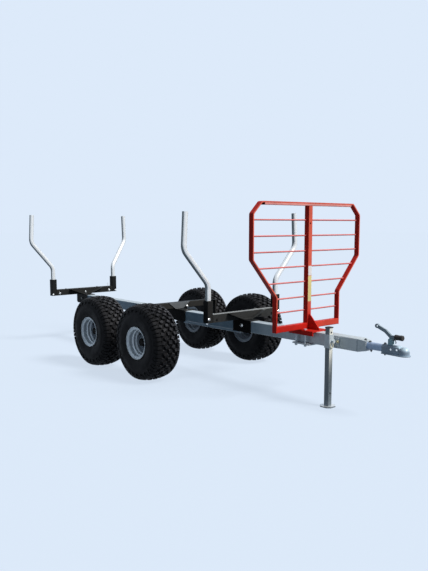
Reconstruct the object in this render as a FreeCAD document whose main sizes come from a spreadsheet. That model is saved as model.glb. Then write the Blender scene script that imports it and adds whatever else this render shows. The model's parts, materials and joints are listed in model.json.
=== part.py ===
import FreeCAD, Part
import math
import os
import Sketcher

# A small tandem-axle forestry trailer for logs. +X points to the hitch, +Y to the trailer's left and
# +Z up. The origin lies on the ground under the middle of the trailer's length and width. Places along
# the trailer are given from the pivots of the two rocking beams that carry the wheels, and keep() moves
# each finished sub-part from there to the origin. All sizes are millimetres.

Vector = FreeCAD.Vector
Rotation = FreeCAD.Rotation
Placement = FreeCAD.Placement

doc = FreeCAD.newDocument("ForestryTrailer")

# Driving sizes: name, value, meaning
SIZES = [
    ("beam_size", 80, "outside width and height of the square main beam"),
    ("beam_wall", 4, "wall of the main beam"),
    ("beam_level", 404, "height of the beam's centre line above the ground"),
    ("beam_rear", -1578, "rear end of the main beam"),
    ("beam_front", 1820, "front end of the main beam"),
    ("cap_plate", 5, "plate that closes the beam's rear end"),
    ("saddle_plate", 6, "plate of the folded saddles on the beam"),
    ("saddle_gap", 0.3, "side clearance between a saddle and the beam"),
    ("saddle_length", 180, "length of a bunk's saddle along the beam"),
    ("saddle_shift", 34, "saddle centre ahead of its bunk's centre"),
    ("wing_span", 176, "half span of a saddle's raised V wings"),
    ("wing_plate", 5, "plate of the V wings"),
    ("wing_length", 36, "each V wing along the trailer"),
    ("bunk_front", 780, "centre of the front bunk"),
    ("bunk_rear", -1504, "centre of the rear bunk"),
    ("bunk_width", 50, "bunk bar along the trailer"),
    ("bunk_height", 56, "height of a bunk bar"),
    ("bunk_sheet", 4, "sheet of the folded bunk bar"),
    ("stake_side", 333, "stake centre from the centre line"),
    ("pocket_size", 50, "outside width of a square stake pocket"),
    ("pocket_wall", 3, "wall of a stake pocket"),
    ("pocket_height", 154, "height of a stake pocket"),
    ("stake_radius", 20, "outside radius of a stake tube"),
    ("stake_wall", 3, "wall of a stake tube"),
    ("stake_top", 1213, "height of the stakes' open tops"),
    ("stake_out", 546, "stake centre from the centre line above the outward bend"),
    ("stake_low_bend", 716, "height of the lower bend's corner"),
    ("stake_high_bend", 958, "height of the upper bend's corner"),
    ("stake_bend_radius", 90, "centre line radius of the stake bends"),
    ("stake_lean", 14, "how far a stake's top leans back inward"),
    ("stake_turn", 23, "degrees that the rear left stake has turned back in its pocket"),
    ("cross_size", 50, "outside size of the axle's square cross tube"),
    ("cross_wall", 5, "wall of the axle cross tube"),
    ("bracket_half", 105, "half width of the axle bracket's top"),
    ("bracket_plate", 6, "plate of the axle bracket"),
    ("axle_saddle_length", 250, "length of the axle's saddle along the beam"),
    ("hanger_side", 330, "inner face of the hanger plates from the centre line"),
    ("hanger_plate", 12, "thickness of a hanger plate"),
    ("hanger_width", 190, "width of a hanger plate"),
    ("pivot_rise", 60, "height of the rocking beams' pivots above the wheel centres"),
    ("pivot_radius", 18, "radius of a pivot pin"),
    ("running_gap", 0.05, "radial clearance of a turning fit"),
    ("boss_radius", 34, "outside radius of a pivot boss"),
    ("rocker_side", 378, "centre of a rocking beam from the centre line"),
    ("rocker_width", 40, "width of a rocking beam"),
    ("rocker_height", 60, "height of a rocking beam"),
    ("rocker_wall", 4, "wall of a rocking beam"),
    ("rocker_end", 38, "rocking beam's end beyond the wheel centre"),
    ("wheel_base", 658, "distance between the two wheels of one side"),
    ("wheel_side", 530, "wheel centre plane from the centre line"),
    ("tyre_radius", 280, "outside radius of a tyre over its lugs"),
    ("tyre_width", 222, "section width of a tyre"),
    ("bead_radius", 101.5, "rim radius at the tyre's bead"),
    ("rim_radius", 118, "outside radius of the rim flange"),
    ("rim_width", 212, "width of the rim over its flanges"),
    ("rim_sheet", 3.5, "sheet of the rim"),
    ("rim_well", 16, "depth of the rim's well below its bead seat"),
    ("disc_offset", -4, "wheel disc's inner face from the wheel's centre plane"),
    ("hub_radius", 32, "outside radius of a hub"),
    ("hub_cap", 40, "end of the hub's grease cap beyond the disc's inner face"),
    ("spindle_radius", 15, "radius of a wheel spindle"),
    ("stud_circle", 50, "radius of the circle of wheel studs"),
    ("stud_radius", 6, "radius of a wheel stud"),
    ("head_front", 1406, "front plane of the headboard"),
    ("head_depth", 36, "depth of the headboard's flat bar along the trailer"),
    ("head_bar", 8, "thickness of the headboard's flat bar"),
    ("head_bend", 24, "outside radius of the flat bar's bends"),
    ("head_top", 1268, "top of the headboard"),
    ("head_top_half", 441, "half width at the headboard's top"),
    ("head_half", 516, "half width of the headboard at its sides"),
    ("head_shoulder", 1193, "height of the upper corners"),
    ("head_hip", 914, "height where the sides turn inward"),
    ("head_waist", 677, "height of the lower corners"),
    ("head_low_half", 308, "half width below the lower corners"),
    ("head_rail", 40, "height of the headboard's bottom rail"),
    ("top_rail", 14, "height of the slim rail under the headboard's top"),
    ("rod_radius", 5, "radius of the headboard's rods"),
    ("rod_low", 575, "height of the lowest rod"),
    ("rod_high", 1156, "height of the highest rod"),
    ("post_width", 36, "width of the headboard's middle post"),
    ("post_depth", 20, "depth of the headboard's middle post"),
    ("base_plate", 8, "plate of the headboard's foot"),
    ("clamp_inset", 15, "clamp bolts in from the foot's sides"),
    ("clamp_radius", 6, "radius of a clamp bolt"),
    ("base_rear", 1296, "rear end of the headboard's foot"),
    ("base_front", 1500, "front end of the headboard's foot"),
    ("base_half", 75, "half width of the headboard's foot"),
    ("base_flange", 32, "height of the foot's folded side flanges"),
    ("brace_height", 96, "height of the front brace"),
    ("brace_length", 88, "length of the front brace"),
    ("nose_length", 54, "length of the tapered nose piece"),
    ("neck_radius", 23, "radius of the hitch neck"),
    ("neck_end", 2000, "front end of the hitch neck"),
    ("neck_level", 407, "height of the hitch neck's centre line"),
    ("ball_radius", 25.5, "inside radius of the coupling's ball socket"),
    ("ball_place", 2118, "ball centre along the trailer"),
    ("ball_level", 400, "height of the ball's centre"),
    ("coupler_low", 378, "underside of the coupling"),
    ("coupler_top", 433, "top of the coupling"),
    ("coupler_wall", 5.5, "pressed wall of the coupling"),
    ("flange_lip", 7, "flange that stands out round the coupling"),
    ("lever_level", 460, "height of the hand lever's pivot"),
    ("lever_pin", 4, "radius of the hand lever's pivot pin"),
    ("lever_place", 2030, "hand lever's pivot along the trailer"),
    ("lever_knee", 18, "height of the hand lever's knee above its pivot"),
    ("lever_blade", 20, "depth of the hand lever's bar"),
    ("lever_width", 12, "width of the hand lever's bar across the trailer"),
    ("bend_back", 39, "the lever's bend behind its knee"),
    ("bend_rise", 31, "the lever's bend above its knee"),
    ("eye_back", 98, "the lever's eye behind its knee"),
    ("eye_rise", 55, "the lever's eye above its knee"),
    ("eye_radius", 13, "outside radius of the lever's eye"),
    ("tang_radius", 5, "radius of the rod inside the grip"),
    ("grip_length", 54, "length of the hand grip"),
    ("grip_radius", 16, "radius of the hand grip"),
    ("yoke_length", 30, "length of the lever's yoke along the trailer"),
    ("shell_round", 17, "radius of the coupling's rounded upper edges"),
    ("jack_place", 1648, "jack centre along the trailer"),
    ("jack_side", 93, "jack centre from the centre line"),
    ("jack_size", 35, "outside width of the jack's square leg"),
    ("jack_wall", 3, "wall of the jack's leg"),
    ("jack_gap", 0.5, "clearance between the jack's leg and its sleeve"),
    ("sleeve_wall", 4, "wall of the jack's sleeve"),
    ("sleeve_low", 372, "bottom of the jack's sleeve"),
    ("sleeve_high", 456, "top of the jack's sleeve"),
    ("jack_plate", 6, "thickness of the jack's mounting plate"),
    ("jack_plate_length", 76, "jack's mounting plate along the beam"),
    ("lock_radius", 6, "radius of the jack's lock pin"),
    ("lock_rise", 12, "height of the lock pin above the beam's centre line"),
    ("low_hole", 86, "height of the leg's lower pin hole"),
    ("jack_top", 496, "top of the jack's leg"),
    ("foot_size", 86, "width of the jack's foot plate"),
    ("foot_plate", 7, "thickness of the jack's foot plate"),
]

sheet = doc.addObject("Spreadsheet::Sheet", "Sizes")
for row, (alias, value, meaning) in enumerate(SIZES, start=1):
    sheet.set("A%d" % row, meaning)
    sheet.set("B%d" % row, str(value))
    sheet.setAlias("B%d" % row, alias)
doc.recompute()

FRONT_TIP = "( ball_place + ball_radius + coupler_wall + flange_lip )"
REAR_END = "( beam_rear - cap_plate )"
MIDDLE = "( ( %s + %s ) / 2 )" % (FRONT_TIP, REAR_END)
PIVOT_LEVEL = "( tyre_radius + pivot_rise )"
GRIP_LEVEL = "( lever_level + lever_knee + 2 )"
NAMES = sorted((entry[0] for entry in SIZES), key=len, reverse=True)
PARTS = []


def bound(expression):
    """Put the sheet's name before each size in an expression such as '2 * beam_wall'."""
    words = expression.replace("(", " ( ").replace(")", " ) ").split()
    formula = " ".join("Sizes." + word if word in NAMES else word for word in words)
    return formula.replace("sin (", "sin(").replace("cos (", "cos(")


def size(expression):
    """The value of an expression of sizes, in millimetres."""
    value = sheet.evalExpression(bound(str(expression)))
    return float(getattr(value, "Value", value))


def keep(part, label, x="0", y="0", z="0"):
    """Name one of the trailer's sub-parts and put it in the trailer's own frame."""
    part.Label = label
    put(part, "( %s ) - %s" % (x, MIDDLE), y, z)
    PARTS.append(part)
    return part


def put(part, x="0", y="0", z="0"):
    """Bind an object's place to the sizes."""
    for axis, expression in (("x", x), ("y", y), ("z", z)):
        part.setExpression("Placement.Base." + axis, bound(str(expression)))
    return part


def turn(part, axis, angle):
    """Turn an object about one axis through its own origin, keeping its bound place."""
    part.Placement = Placement(part.Placement.Base, Rotation(axis, angle))
    return part


def new_body(name):
    return doc.addObject("PartDesign::Body", name)


def new_sketch(body, name, plane):
    """A sketch on one of the body's own origin planes."""
    support = [item for item in body.Origin.OriginFeatures if item.Role == plane][0]
    drawing = body.newObject("Sketcher::SketchObject", name)
    drawing.AttachmentSupport = (support, "")
    drawing.MapMode = "FlatFace"
    return drawing


def bind(drawing, constraint, expression):
    """Add a constraint whose value follows an expression of sizes."""
    index = drawing.addConstraint(constraint)
    drawing.setExpression("Constraints[%d]" % index, bound(str(expression)))


def outline(drawing, corners):
    """A closed outline of straight lines, each corner bound to its two expressions."""
    first = len(drawing.Geometry)
    count = len(corners)
    spots = [Vector(size(across), size(up), 0) for across, up in corners]
    for index in range(count):
        drawing.addGeometry(Part.LineSegment(spots[index], spots[(index + 1) % count]), False)
    for index in range(count):
        follower = first + (index + 1) % count
        drawing.addConstraint(Sketcher.Constraint("Coincident", first + index, 2, follower, 1))
    for index, (across, up) in enumerate(corners):
        line = first + index
        bind(drawing, Sketcher.Constraint("DistanceX", -1, 1, line, 1, spots[index].x), across)
        bind(drawing, Sketcher.Constraint("DistanceY", -1, 1, line, 1, spots[index].y), up)


def ring(drawing, radius, across="0", up="0"):
    """A circle bound to its radius and centre."""
    centre = Vector(size(across), size(up), 0)
    index = drawing.addGeometry(Part.Circle(centre, Vector(0, 0, 1), size(radius)), False)
    bind(drawing, Sketcher.Constraint("Radius", index, size(radius)), radius)
    bind(drawing, Sketcher.Constraint("DistanceX", -1, 1, index, 3, size(across)), across)
    bind(drawing, Sketcher.Constraint("DistanceY", -1, 1, index, 3, size(up)), up)


def rectangle(wide, high):
    """Corners of a rectangle about the sketch's origin."""
    half, tall = "( %s ) / 2" % wide, "( %s ) / 2" % high
    left, low = "-( %s )" % half, "-( %s )" % tall
    return [(left, low), (half, low), (half, tall), (left, tall)]


def pad(body, drawing, length, midplane=False):
    """Extrude a sketch; a midplane pad grows both ways from its plane."""
    feature = body.newObject("PartDesign::Pad", drawing.Name + "Pad")
    feature.Profile = drawing
    feature.setExpression("Length", bound(length))
    feature.Midplane = midplane
    doc.recompute()
    return feature


def revolve(body, drawing):
    """Turn a sketch drawn on the YZ plane about the body's Y axis."""
    feature = body.newObject("PartDesign::Revolution", drawing.Name + "Turned")
    feature.Profile = drawing
    feature.ReferenceAxis = (drawing, ["H_Axis"])
    feature.Angle = 360
    doc.recompute()
    return feature


def round_edges(body, base, radius, chosen):
    """Fillet the edges of a feature that pass a test."""
    names = ["Edge%d" % (index + 1) for index, edge in enumerate(base.Shape.Edges) if chosen(edge)]
    feature = body.newObject("PartDesign::Fillet", base.Name + "Round")
    feature.Base = (base, names)
    feature.setExpression("Radius", bound(radius))
    doc.recompute()
    return feature


def along(axis):
    """A test for straight edges that run along one axis."""
    def chosen(edge):
        straight = edge.Curve.TypeId == "Part::GeomLine"
        return straight and abs(edge.tangentAt(edge.FirstParameter).dot(axis)) > 0.999
    return chosen


def hollow(body, base, wall, axis, ends=(-1, 1)):
    """Shell a feature inward, leaving it open at the flat ends that face along an axis."""
    names = []
    for index, face in enumerate(base.Shape.Faces):
        if face.Surface.TypeId == "Part::GeomPlane":
            facing = face.normalAt(0, 0).dot(axis)
            if any(facing * end > 0.999 for end in ends):
                names.append("Face%d" % (index + 1))
    feature = body.newObject("PartDesign::Thickness", base.Name + "Shell")
    feature.Base = (base, names)
    feature.setExpression("Value", bound(wall))
    feature.Reversed = True
    doc.recompute()
    return feature


AXES = {"YZ_Plane": Vector(1, 0, 0), "XZ_Plane": Vector(0, 1, 0), "XY_Plane": Vector(0, 0, 1)}


def square_tube(name, plane, wide, high, wall, length, corner, midplane=False, ends=(-1, 1)):
    """A rectangular hollow section with rounded corners, extruded from one origin plane."""
    body = new_body(name)
    section = new_sketch(body, name + "Section", plane)
    outline(section, rectangle(wide, high))
    solid = pad(body, section, length, midplane)
    rounded = round_edges(body, solid, corner, along(AXES[plane]))
    hollow(body, rounded, wall, AXES[plane], ends)
    return body


def cylinder(name, radius, height, x="0", y="0", z="0", axis="Z"):
    """A round bar that starts at a point and runs along an axis."""
    bar = doc.addObject("Part::Cylinder", name)
    bar.setExpression("Radius", bound(str(radius)))
    bar.setExpression("Height", bound(str(height)))
    turns = {"X": (Vector(0, 1, 0), 90), "Y": (Vector(1, 0, 0), -90), "Z": (Vector(0, 0, 1), 0)}
    turn(bar, *turns[axis])
    return put(bar, x, y, z)


def box(name, length, width, height, x="0", y="0", z="0"):
    block = doc.addObject("Part::Box", name)
    for side, expression in (("Length", length), ("Width", width), ("Height", height)):
        block.setExpression(side, bound(str(expression)))
    return put(block, x, y, z)


def fuse(name, shapes):
    joined = doc.addObject("Part::MultiFuse", name)
    joined.Shapes = shapes
    joined.Refine = True
    return joined


def cut(name, base, tool):
    result = doc.addObject("Part::Cut", name)
    result.Base = base
    result.Tool = tool
    return result


def common(name, base, tool):
    result = doc.addObject("Part::Common", name)
    result.Base = base
    result.Tool = tool
    return result


def group(name, shapes):
    """Several like solids that share one node."""
    together = doc.addObject("Part::Compound", name)
    together.Links = shapes
    return together


def mirrored(name, source):
    """The same piece on the trailer's other side."""
    twin = doc.addObject("Part::Mirroring", name)
    twin.Source = source
    twin.Normal = Vector(0, 1, 0)
    return twin


def both_sides(label, source):
    return keep(group(label, [source, mirrored(label + "_twin", source)]), label)


def make_beam():
    """The square main beam, with a flat cap on its open rear end."""
    length = "beam_front - beam_rear"
    beam = square_tube("beam", "YZ_Plane", "beam_size", "beam_size", "beam_wall", length, "6")
    keep(beam, "main_beam", x="beam_rear", z="beam_level")
    cap = new_body("cap")
    drawing = new_sketch(cap, "CapOutline", "YZ_Plane")
    outline(drawing, rectangle("beam_size", "beam_size"))
    plate = pad(cap, drawing, "cap_plate")
    round_edges(cap, plate, "6", along(Vector(1, 0, 0)))
    keep(cap, "beam_cap", x=REAR_END, z="beam_level")


BEAM_TOP = "( beam_level + beam_size / 2 )"
SADDLE_TOP = "( beam_level + beam_size / 2 + saddle_plate )"


def make_saddle(label, length, centre):
    """A folded plate over the beam, held by one bolt through both of its cheeks."""
    body = new_body(label)
    section = new_sketch(body, label + "Section", "YZ_Plane")
    inner = "( beam_size / 2 + saddle_gap )"
    outer = "( beam_size / 2 + saddle_gap + saddle_plate )"
    top = "( beam_size / 2 + saddle_plate )"
    low = "( -1 * beam_size / 2 - 4 )"
    under = "beam_size / 2"
    outline(section, [("-1 * " + outer, low), ("-1 * " + inner, low), ("-1 * " + inner, under),
                      (inner, under), (inner, low), (outer, low), (outer, top), ("-1 * " + outer, top)])
    solid = pad(body, section, length)
    folds = along(Vector(1, 0, 0))
    fold_level = size(top) - 1
    round_edges(body, solid, "saddle_plate * 0.8",
                lambda edge: folds(edge) and edge.BoundBox.ZMin > fold_level)
    keep(body, label, x="%s - %s / 2" % (centre, length), z="beam_level")


def make_bunk(label, centre):
    """A folded bunk bar, open below, with V wings that brace it on its saddle."""
    bar = new_body(label + "_bar")
    section = new_sketch(bar, label + "Section", "XZ_Plane")
    half, inside = "( bunk_width / 2 )", "( bunk_width / 2 - bunk_sheet )"
    under = "( bunk_height - bunk_sheet )"
    outline(section, [("-1 * " + half, "0"), ("-1 * " + inside, "0"), ("-1 * " + inside, under),
                      (inside, under), (inside, "0"), (half, "0"), (half, "bunk_height"),
                      ("-1 * " + half, "bunk_height")])
    solid = pad(bar, section, "2 * ( stake_side - pocket_size / 2 )", midplane=True)
    folds = along(Vector(0, 1, 0))
    round_edges(bar, solid, "bunk_sheet * 0.8",
                lambda edge: folds(edge) and edge.BoundBox.ZMin > size("bunk_height - 1"))
    put(bar, x=centre, z=SADDLE_TOP)
    wings = []
    for name, start in (("front", "bunk_width / 2"), ("back", "-1 * bunk_width / 2 - wing_length")):
        wing = new_body(label + "_wing_" + name)
        drawing = new_sketch(wing, label + name + "Wing", "YZ_Plane")
        flat, drop = "( beam_size / 2 )", "( wing_plate * 1.1 )"
        outline(drawing, [("-1 * " + flat, "0"), (flat, "0"), ("wing_span", "bunk_height - " + drop),
                          ("wing_span", "bunk_height"), (flat, "wing_plate"),
                          ("-1 * " + flat, "wing_plate"), ("-1 * wing_span", "bunk_height"),
                          ("-1 * wing_span", "bunk_height - " + drop)])
        pad(wing, drawing, "wing_length")
        wings.append(put(wing, x="%s + %s" % (centre, start), z=SADDLE_TOP))
    return keep(fuse(label, [bar] + wings), label)


def make_pockets(label, centre):
    """Square pockets, closed below, welded to the ends of a bunk bar."""
    pocket = square_tube(label + "_one", "XY_Plane", "pocket_size", "pocket_size", "pocket_wall",
                         "pocket_height", "5", ends=(1,))
    put(pocket, x=centre, y="stake_side", z=SADDLE_TOP)
    both_sides(label, pocket)


def arc_corner(before, corner, after, radius):
    """Tangent points and middle of the arc that rounds one corner of a path."""
    back = (before - corner).normalize()
    ahead = (after - corner).normalize()
    half_turn = back.getAngle(ahead) / 2
    reach = radius / math.tan(half_turn)
    middle = (back + ahead).normalize()
    centre = corner + middle * (radius / math.sin(half_turn))
    return corner + back * reach, centre - middle * radius, corner + ahead * reach


def bent_path(drawing, points, radius):
    """Straight runs joined by tangent arcs."""
    start = points[0]
    for index in range(1, len(points) - 1):
        enter, middle, leave = arc_corner(points[index - 1], points[index], points[index + 1], radius)
        drawing.addGeometry(Part.LineSegment(start, enter), False)
        drawing.addGeometry(Part.Arc(enter, middle, leave), False)
        start = leave
    drawing.addGeometry(Part.LineSegment(start, points[-1]), False)


def make_stakes(label, centre, turned="0"):
    """Tubes that rise from the pockets, bend outward and stand up again. The left one may have turned."""
    stake = new_body(label + "_one")
    side, out = size("stake_side"), size("stake_out")
    floor = size(SADDLE_TOP + " + pocket_wall")
    low_bend = Vector(side, size("stake_low_bend"), 0)
    high_bend = Vector(out, size("stake_high_bend"), 0)
    top = Vector(out - size("stake_lean"), size("stake_top"), 0)
    path = new_sketch(stake, label + "Path", "YZ_Plane")
    bent_path(path, [Vector(side, floor, 0), low_bend, high_bend, top], size("stake_bend_radius"))
    section = new_sketch(stake, label + "Section", "XY_Plane")
    section.setExpression("AttachmentOffset.Base.z", bound(SADDLE_TOP + " + pocket_wall"))
    ring(section, "stake_radius", up="stake_side")
    ring(section, "stake_radius - stake_wall", up="stake_side")
    doc.recompute()
    pipe = stake.newObject("PartDesign::AdditivePipe", label + "Pipe")
    pipe.Profile = section
    pipe.Spine = path
    doc.recompute()
    left = turn(group(label + "_left", [stake]), Vector(0, 0, 1), size(turned))
    put(left, x="stake_side * sin( %s )" % turned, y="stake_side * ( 1 - cos( %s ) )" % turned)
    keep(group(label, [left, mirrored(label + "_right", stake)]), label, x=centre)


def make_axle():
    """The cross tube over the beam, and the hanger plates that carry the rocking beams."""
    tube = square_tube("cross", "XZ_Plane", "cross_size", "cross_size", "cross_wall",
                       "2 * hanger_side", "6", midplane=True)
    keep(tube, "cross_tube", z=SADDLE_TOP + " + cross_size / 2")
    bracket = new_body("bracket_plate_body")
    face = new_sketch(bracket, "BracketFace", "YZ_Plane")
    outline(face, [("-1 * beam_size / 2", "0"), ("beam_size / 2", "0"), ("bracket_half", "cross_size"),
                   ("-1 * bracket_half", "cross_size")])
    pad(bracket, face, "bracket_plate")
    keep(bracket, "axle_bracket", x="cross_size / 2", z=SADDLE_TOP)
    hanger = new_body("hanger_plate")
    drawing = new_sketch(hanger, "HangerOutline", "XZ_Plane")
    half, low = size("hanger_width / 2"), size(PIVOT_LEVEL)
    top = size(SADDLE_TOP + " + cross_size")
    radius = size("boss_radius")
    shoulder = size(SADDLE_TOP + " - cross_size")
    lean = math.atan2(half - radius, shoulder - low)
    side = Vector(radius * math.cos(lean), low - radius * math.sin(lean), 0)
    corners = [Vector(-side.x, side.y, 0), Vector(-half, shoulder, 0), Vector(-half, top, 0),
               Vector(half, top, 0), Vector(half, shoulder, 0), side]
    for start, end in zip(corners, corners[1:]):
        drawing.addGeometry(Part.LineSegment(start, end), False)
    drawing.addGeometry(Part.Arc(side, Vector(0, low - radius, 0), corners[0]), False)
    pad(hanger, drawing, "hanger_plate", midplane=True)
    put(hanger, y="hanger_side + hanger_plate / 2")
    pin = cylinder("pivot_pin", "pivot_radius", "rocker_side + rocker_width / 2 + 8 - hanger_side",
                   y="hanger_side", z=PIVOT_LEVEL, axis="Y")
    washer = cylinder("pivot_washer", "pivot_radius + 10", "5", y="rocker_side + rocker_width / 2 + 3",
                      z=PIVOT_LEVEL, axis="Y")
    both_sides("hangers", fuse("hanger", [hanger, pin, washer]))


def make_rocker(side, sign):
    """A rocking beam with its pivot boss, and the spindles at its ends."""
    beam = square_tube("rocker_beam_" + side, "YZ_Plane", "rocker_width", "rocker_height", "rocker_wall",
                       "wheel_base + 2 * rocker_end", "6")
    put(beam, x="-1 * wheel_base / 2 - rocker_end", y="%d * rocker_side" % sign, z="tyre_radius")
    left_start = "rocker_side - rocker_width / 2 - 9"
    right_start = "-1 * rocker_side - rocker_width / 2 - 1"
    start = left_start if sign > 0 else right_start
    boss = cylinder("boss_" + side, "boss_radius", "rocker_width + 10", y=start, z=PIVOT_LEVEL, axis="Y")
    blank = fuse("rocker_blank_" + side, [beam, boss])
    bore = cylinder("boss_bore_" + side, "pivot_radius + running_gap", "rocker_width + 40",
                    y="%d * rocker_side - rocker_width / 2 - 20" % sign, z=PIVOT_LEVEL, axis="Y")
    keep(cut("rocker_" + side, blank, bore), "rocker_" + side)
    spindles = []
    for end, place in (("front", "wheel_base / 2"), ("rear", "-1 * wheel_base / 2")):
        body = new_body("spindle_%s_%s" % (end, side))
        drawing = new_sketch(body, "Spindle%s%s" % (end, side), "YZ_Plane")
        inner = "( rocker_side + rocker_width / 2 - wheel_side )"
        collar = "( %s + 22 )" % inner
        tip = "( disc_offset + 10 )"
        outline(drawing, [(inner, "0"), (tip, "0"), (tip, "spindle_radius"), (collar, "spindle_radius"),
                          (collar, "spindle_radius + 8"), (inner, "spindle_radius + 8")])
        revolve(body, drawing)
        if sign < 0:
            turn(body, Vector(0, 0, 1), 180)
        spindles.append(put(body, x=place, y="%d * wheel_side" % sign, z="tyre_radius"))
    keep(group("spindles_" + side, spindles), "spindles_" + side)


def strip(points, thickness):
    """Corners of a sheet of even thickness whose middle follows the points."""
    def edge(offset):
        result = []
        for index, point in enumerate(points):
            before = points[max(index - 1, 0)]
            after = points[min(index + 1, len(points) - 1)]
            into = (point - before).normalize() if index > 0 else (after - point).normalize()
            out = (after - point).normalize() if index < len(points) - 1 else into
            mitre = Vector(-into.y - out.y, into.x + out.x, 0).normalize()
            shrink = mitre.dot(Vector(-into.y, into.x, 0))
            result.append(point + mitre * (offset / shrink))
        return result
    return edge(thickness / 2) + edge(-thickness / 2)[::-1]


def closed_line(drawing, points):
    for start, end in zip(points, points[1:] + points[:1]):
        drawing.addGeometry(Part.LineSegment(start, end), False)


def rim_points():
    """The middle of the rim's sheet, from the inner lip to the outer lip."""
    lip = size("rim_width") / 2
    top = size("rim_radius") - size("rim_sheet") / 2
    seat = size("bead_radius") - size("rim_sheet") / 2
    well = seat - size("rim_well")
    half = [(36, well), (44, seat - 8), (60, seat - 8), (66, seat), (lip - 13, seat), (lip - 12, top - 5),
            (lip - 7, top), (lip, top)]
    inner = [Vector(-across, radius, 0) for across, radius in reversed(half)]
    return inner + [Vector(across, radius, 0) for across, radius in half]


def make_rim(label):
    """A stepped steel rim with its dished disc and stud holes."""
    body = new_body(label + "_body")
    barrel = new_sketch(body, label + "Barrel", "YZ_Plane")
    closed_line(barrel, strip(rim_points(), size("rim_sheet")))
    revolve(body, barrel)
    disc = new_sketch(body, label + "Disc", "YZ_Plane")
    well = "( bead_radius - rim_sheet - rim_well + 0.4 )"
    inner, outer = "disc_offset", "( disc_offset + 4 )"
    outline(disc, [(inner, "hub_radius + 1"), (outer, "hub_radius + 1"), (outer, "stud_circle + 16"),
                   (outer + " + 9", "stud_circle + 22"), (outer + " + 9", well), (inner + " + 9", well),
                   (inner + " + 9", "stud_circle + 24"), (inner, "stud_circle + 18")])
    revolve(body, disc)
    holes = []
    for index in range(4):
        hole = cylinder("%s_hole_%d" % (label, index), "stud_radius + 0.5", "20", axis="Y")
        angle = math.radians(45 + 90 * index)
        holes.append(put(hole, x="stud_circle * %.9f" % math.cos(angle), y="disc_offset - 8",
                         z="stud_circle * %.9f" % math.sin(angle)))
    return cut(label, body, group(label + "_holes", holes))


def make_hub(label):
    """A turned hub with a flange, a grease cap and four studs with their nuts."""
    body = new_body(label + "_body")
    profile = new_sketch(body, label + "Profile", "YZ_Plane")
    bore, back = "spindle_radius + running_gap", "( rocker_side + rocker_width / 2 - wheel_side + 24 )"
    outline(profile, [(back, bore), ("disc_offset + 12", bore), ("disc_offset + 12", "0"),
                      ("disc_offset + hub_cap", "0"), ("disc_offset + hub_cap", "hub_radius - 13"),
                      ("disc_offset + hub_cap - 4", "hub_radius - 9"),
                      ("disc_offset + 22", "hub_radius - 8"), ("disc_offset + 20", "hub_radius"),
                      ("disc_offset", "hub_radius"), ("disc_offset", "stud_circle + 13"),
                      ("disc_offset - 8", "stud_circle + 13"), ("disc_offset - 10", "hub_radius + 6"),
                      ("disc_offset - 24", "hub_radius"), (back, "hub_radius - 4")])
    revolve(body, profile)
    pieces = [body]
    for index in range(4):
        angle = math.radians(45 + 90 * index)
        across = "stud_circle * %.9f" % math.cos(angle)
        up = "stud_circle * %.9f" % math.sin(angle)
        pieces.append(cylinder("%s_stud_%d" % (label, index), "stud_radius", "22", x=across,
                               y="disc_offset - 4", z=up, axis="Y"))
        nut = doc.addObject("Part::Prism", "%s_nut_%d" % (label, index))
        nut.Polygon = 6
        nut.Circumradius = 10.5
        nut.Height = 10
        turn(nut, Vector(1, 0, 0), -90)
        pieces.append(put(nut, x=across, y="disc_offset + 4", z=up))
    return fuse(label, pieces)


def make_tyre(label):
    """The tyre's carcass, hollow as it is, out to the tops of its lugs."""
    body = new_body(label + "_body")
    drawing = new_sketch(body, label + "Profile", "YZ_Plane")
    half, outer = size("tyre_width / 2"), size("tyre_radius")
    bead, seat = size("bead_radius") + 0.3, size("rim_width / 2") - 15.2
    lip = size("rim_radius") + 1
    waist = (lip + outer) / 2 - 16
    outside = [Vector(seat, bead, 0), Vector(seat, lip, 0), Vector(half - 9, lip + 3, 0)]
    wall_top = Vector(half - 12, outer - 38, 0)
    shoulder = Vector(half - 26, outer - 12, 0)
    inside = [Vector(64, bead, 0), Vector(72, lip - 2, 0)]
    inner_top = Vector(half - 25, outer - 44, 0)
    inner_shoulder = Vector(half - 42, outer - 25, 0)

    def flip(point):
        return Vector(-point.x, point.y, 0)

    def add(kind, *points):
        drawing.addGeometry(kind(*points), False)

    for side in (lambda point: point, flip):
        add(Part.LineSegment, side(inside[0]), side(outside[0]))
        add(Part.LineSegment, side(outside[0]), side(outside[1]))
        add(Part.LineSegment, side(outside[1]), side(outside[2]))
        add(Part.Arc, side(outside[2]), side(Vector(half, waist, 0)), side(wall_top))
        add(Part.Arc, side(wall_top), side(Vector(half - 16.5, outer - 22, 0)), side(shoulder))
        add(Part.LineSegment, side(inside[0]), side(inside[1]))
        add(Part.Arc, side(inside[1]), side(Vector(half - 12, waist, 0)), side(inner_top))
        add(Part.Arc, side(inner_top), side(Vector(half - 31, outer - 31, 0)), side(inner_shoulder))
    add(Part.Arc, shoulder, Vector(0, outer, 0), flip(shoulder))
    add(Part.Arc, inner_shoulder, Vector(0, outer - 18, 0), flip(inner_shoulder))
    revolve(body, drawing)
    return body


def make_wheels():
    for side, sign in (("right", -1), ("left", 1)):
        for end, place in (("front", "wheel_base / 2"), ("rear", "-1 * wheel_base / 2")):
            corner = "%s_%s" % (end, side)
            for maker, kind in ((make_tyre, "tyre_"), (make_rim, "rim_"), (make_hub, "hub_")):
                piece = maker(kind + corner)
                if sign < 0:
                    turn(piece, Vector(0, 0, 1), 180)
                keep(piece, kind + corner, x=place, y="%d * wheel_side" % sign, z="tyre_radius")


FOOT_TOP = "( beam_level + beam_size / 2 + base_plate )"


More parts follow.
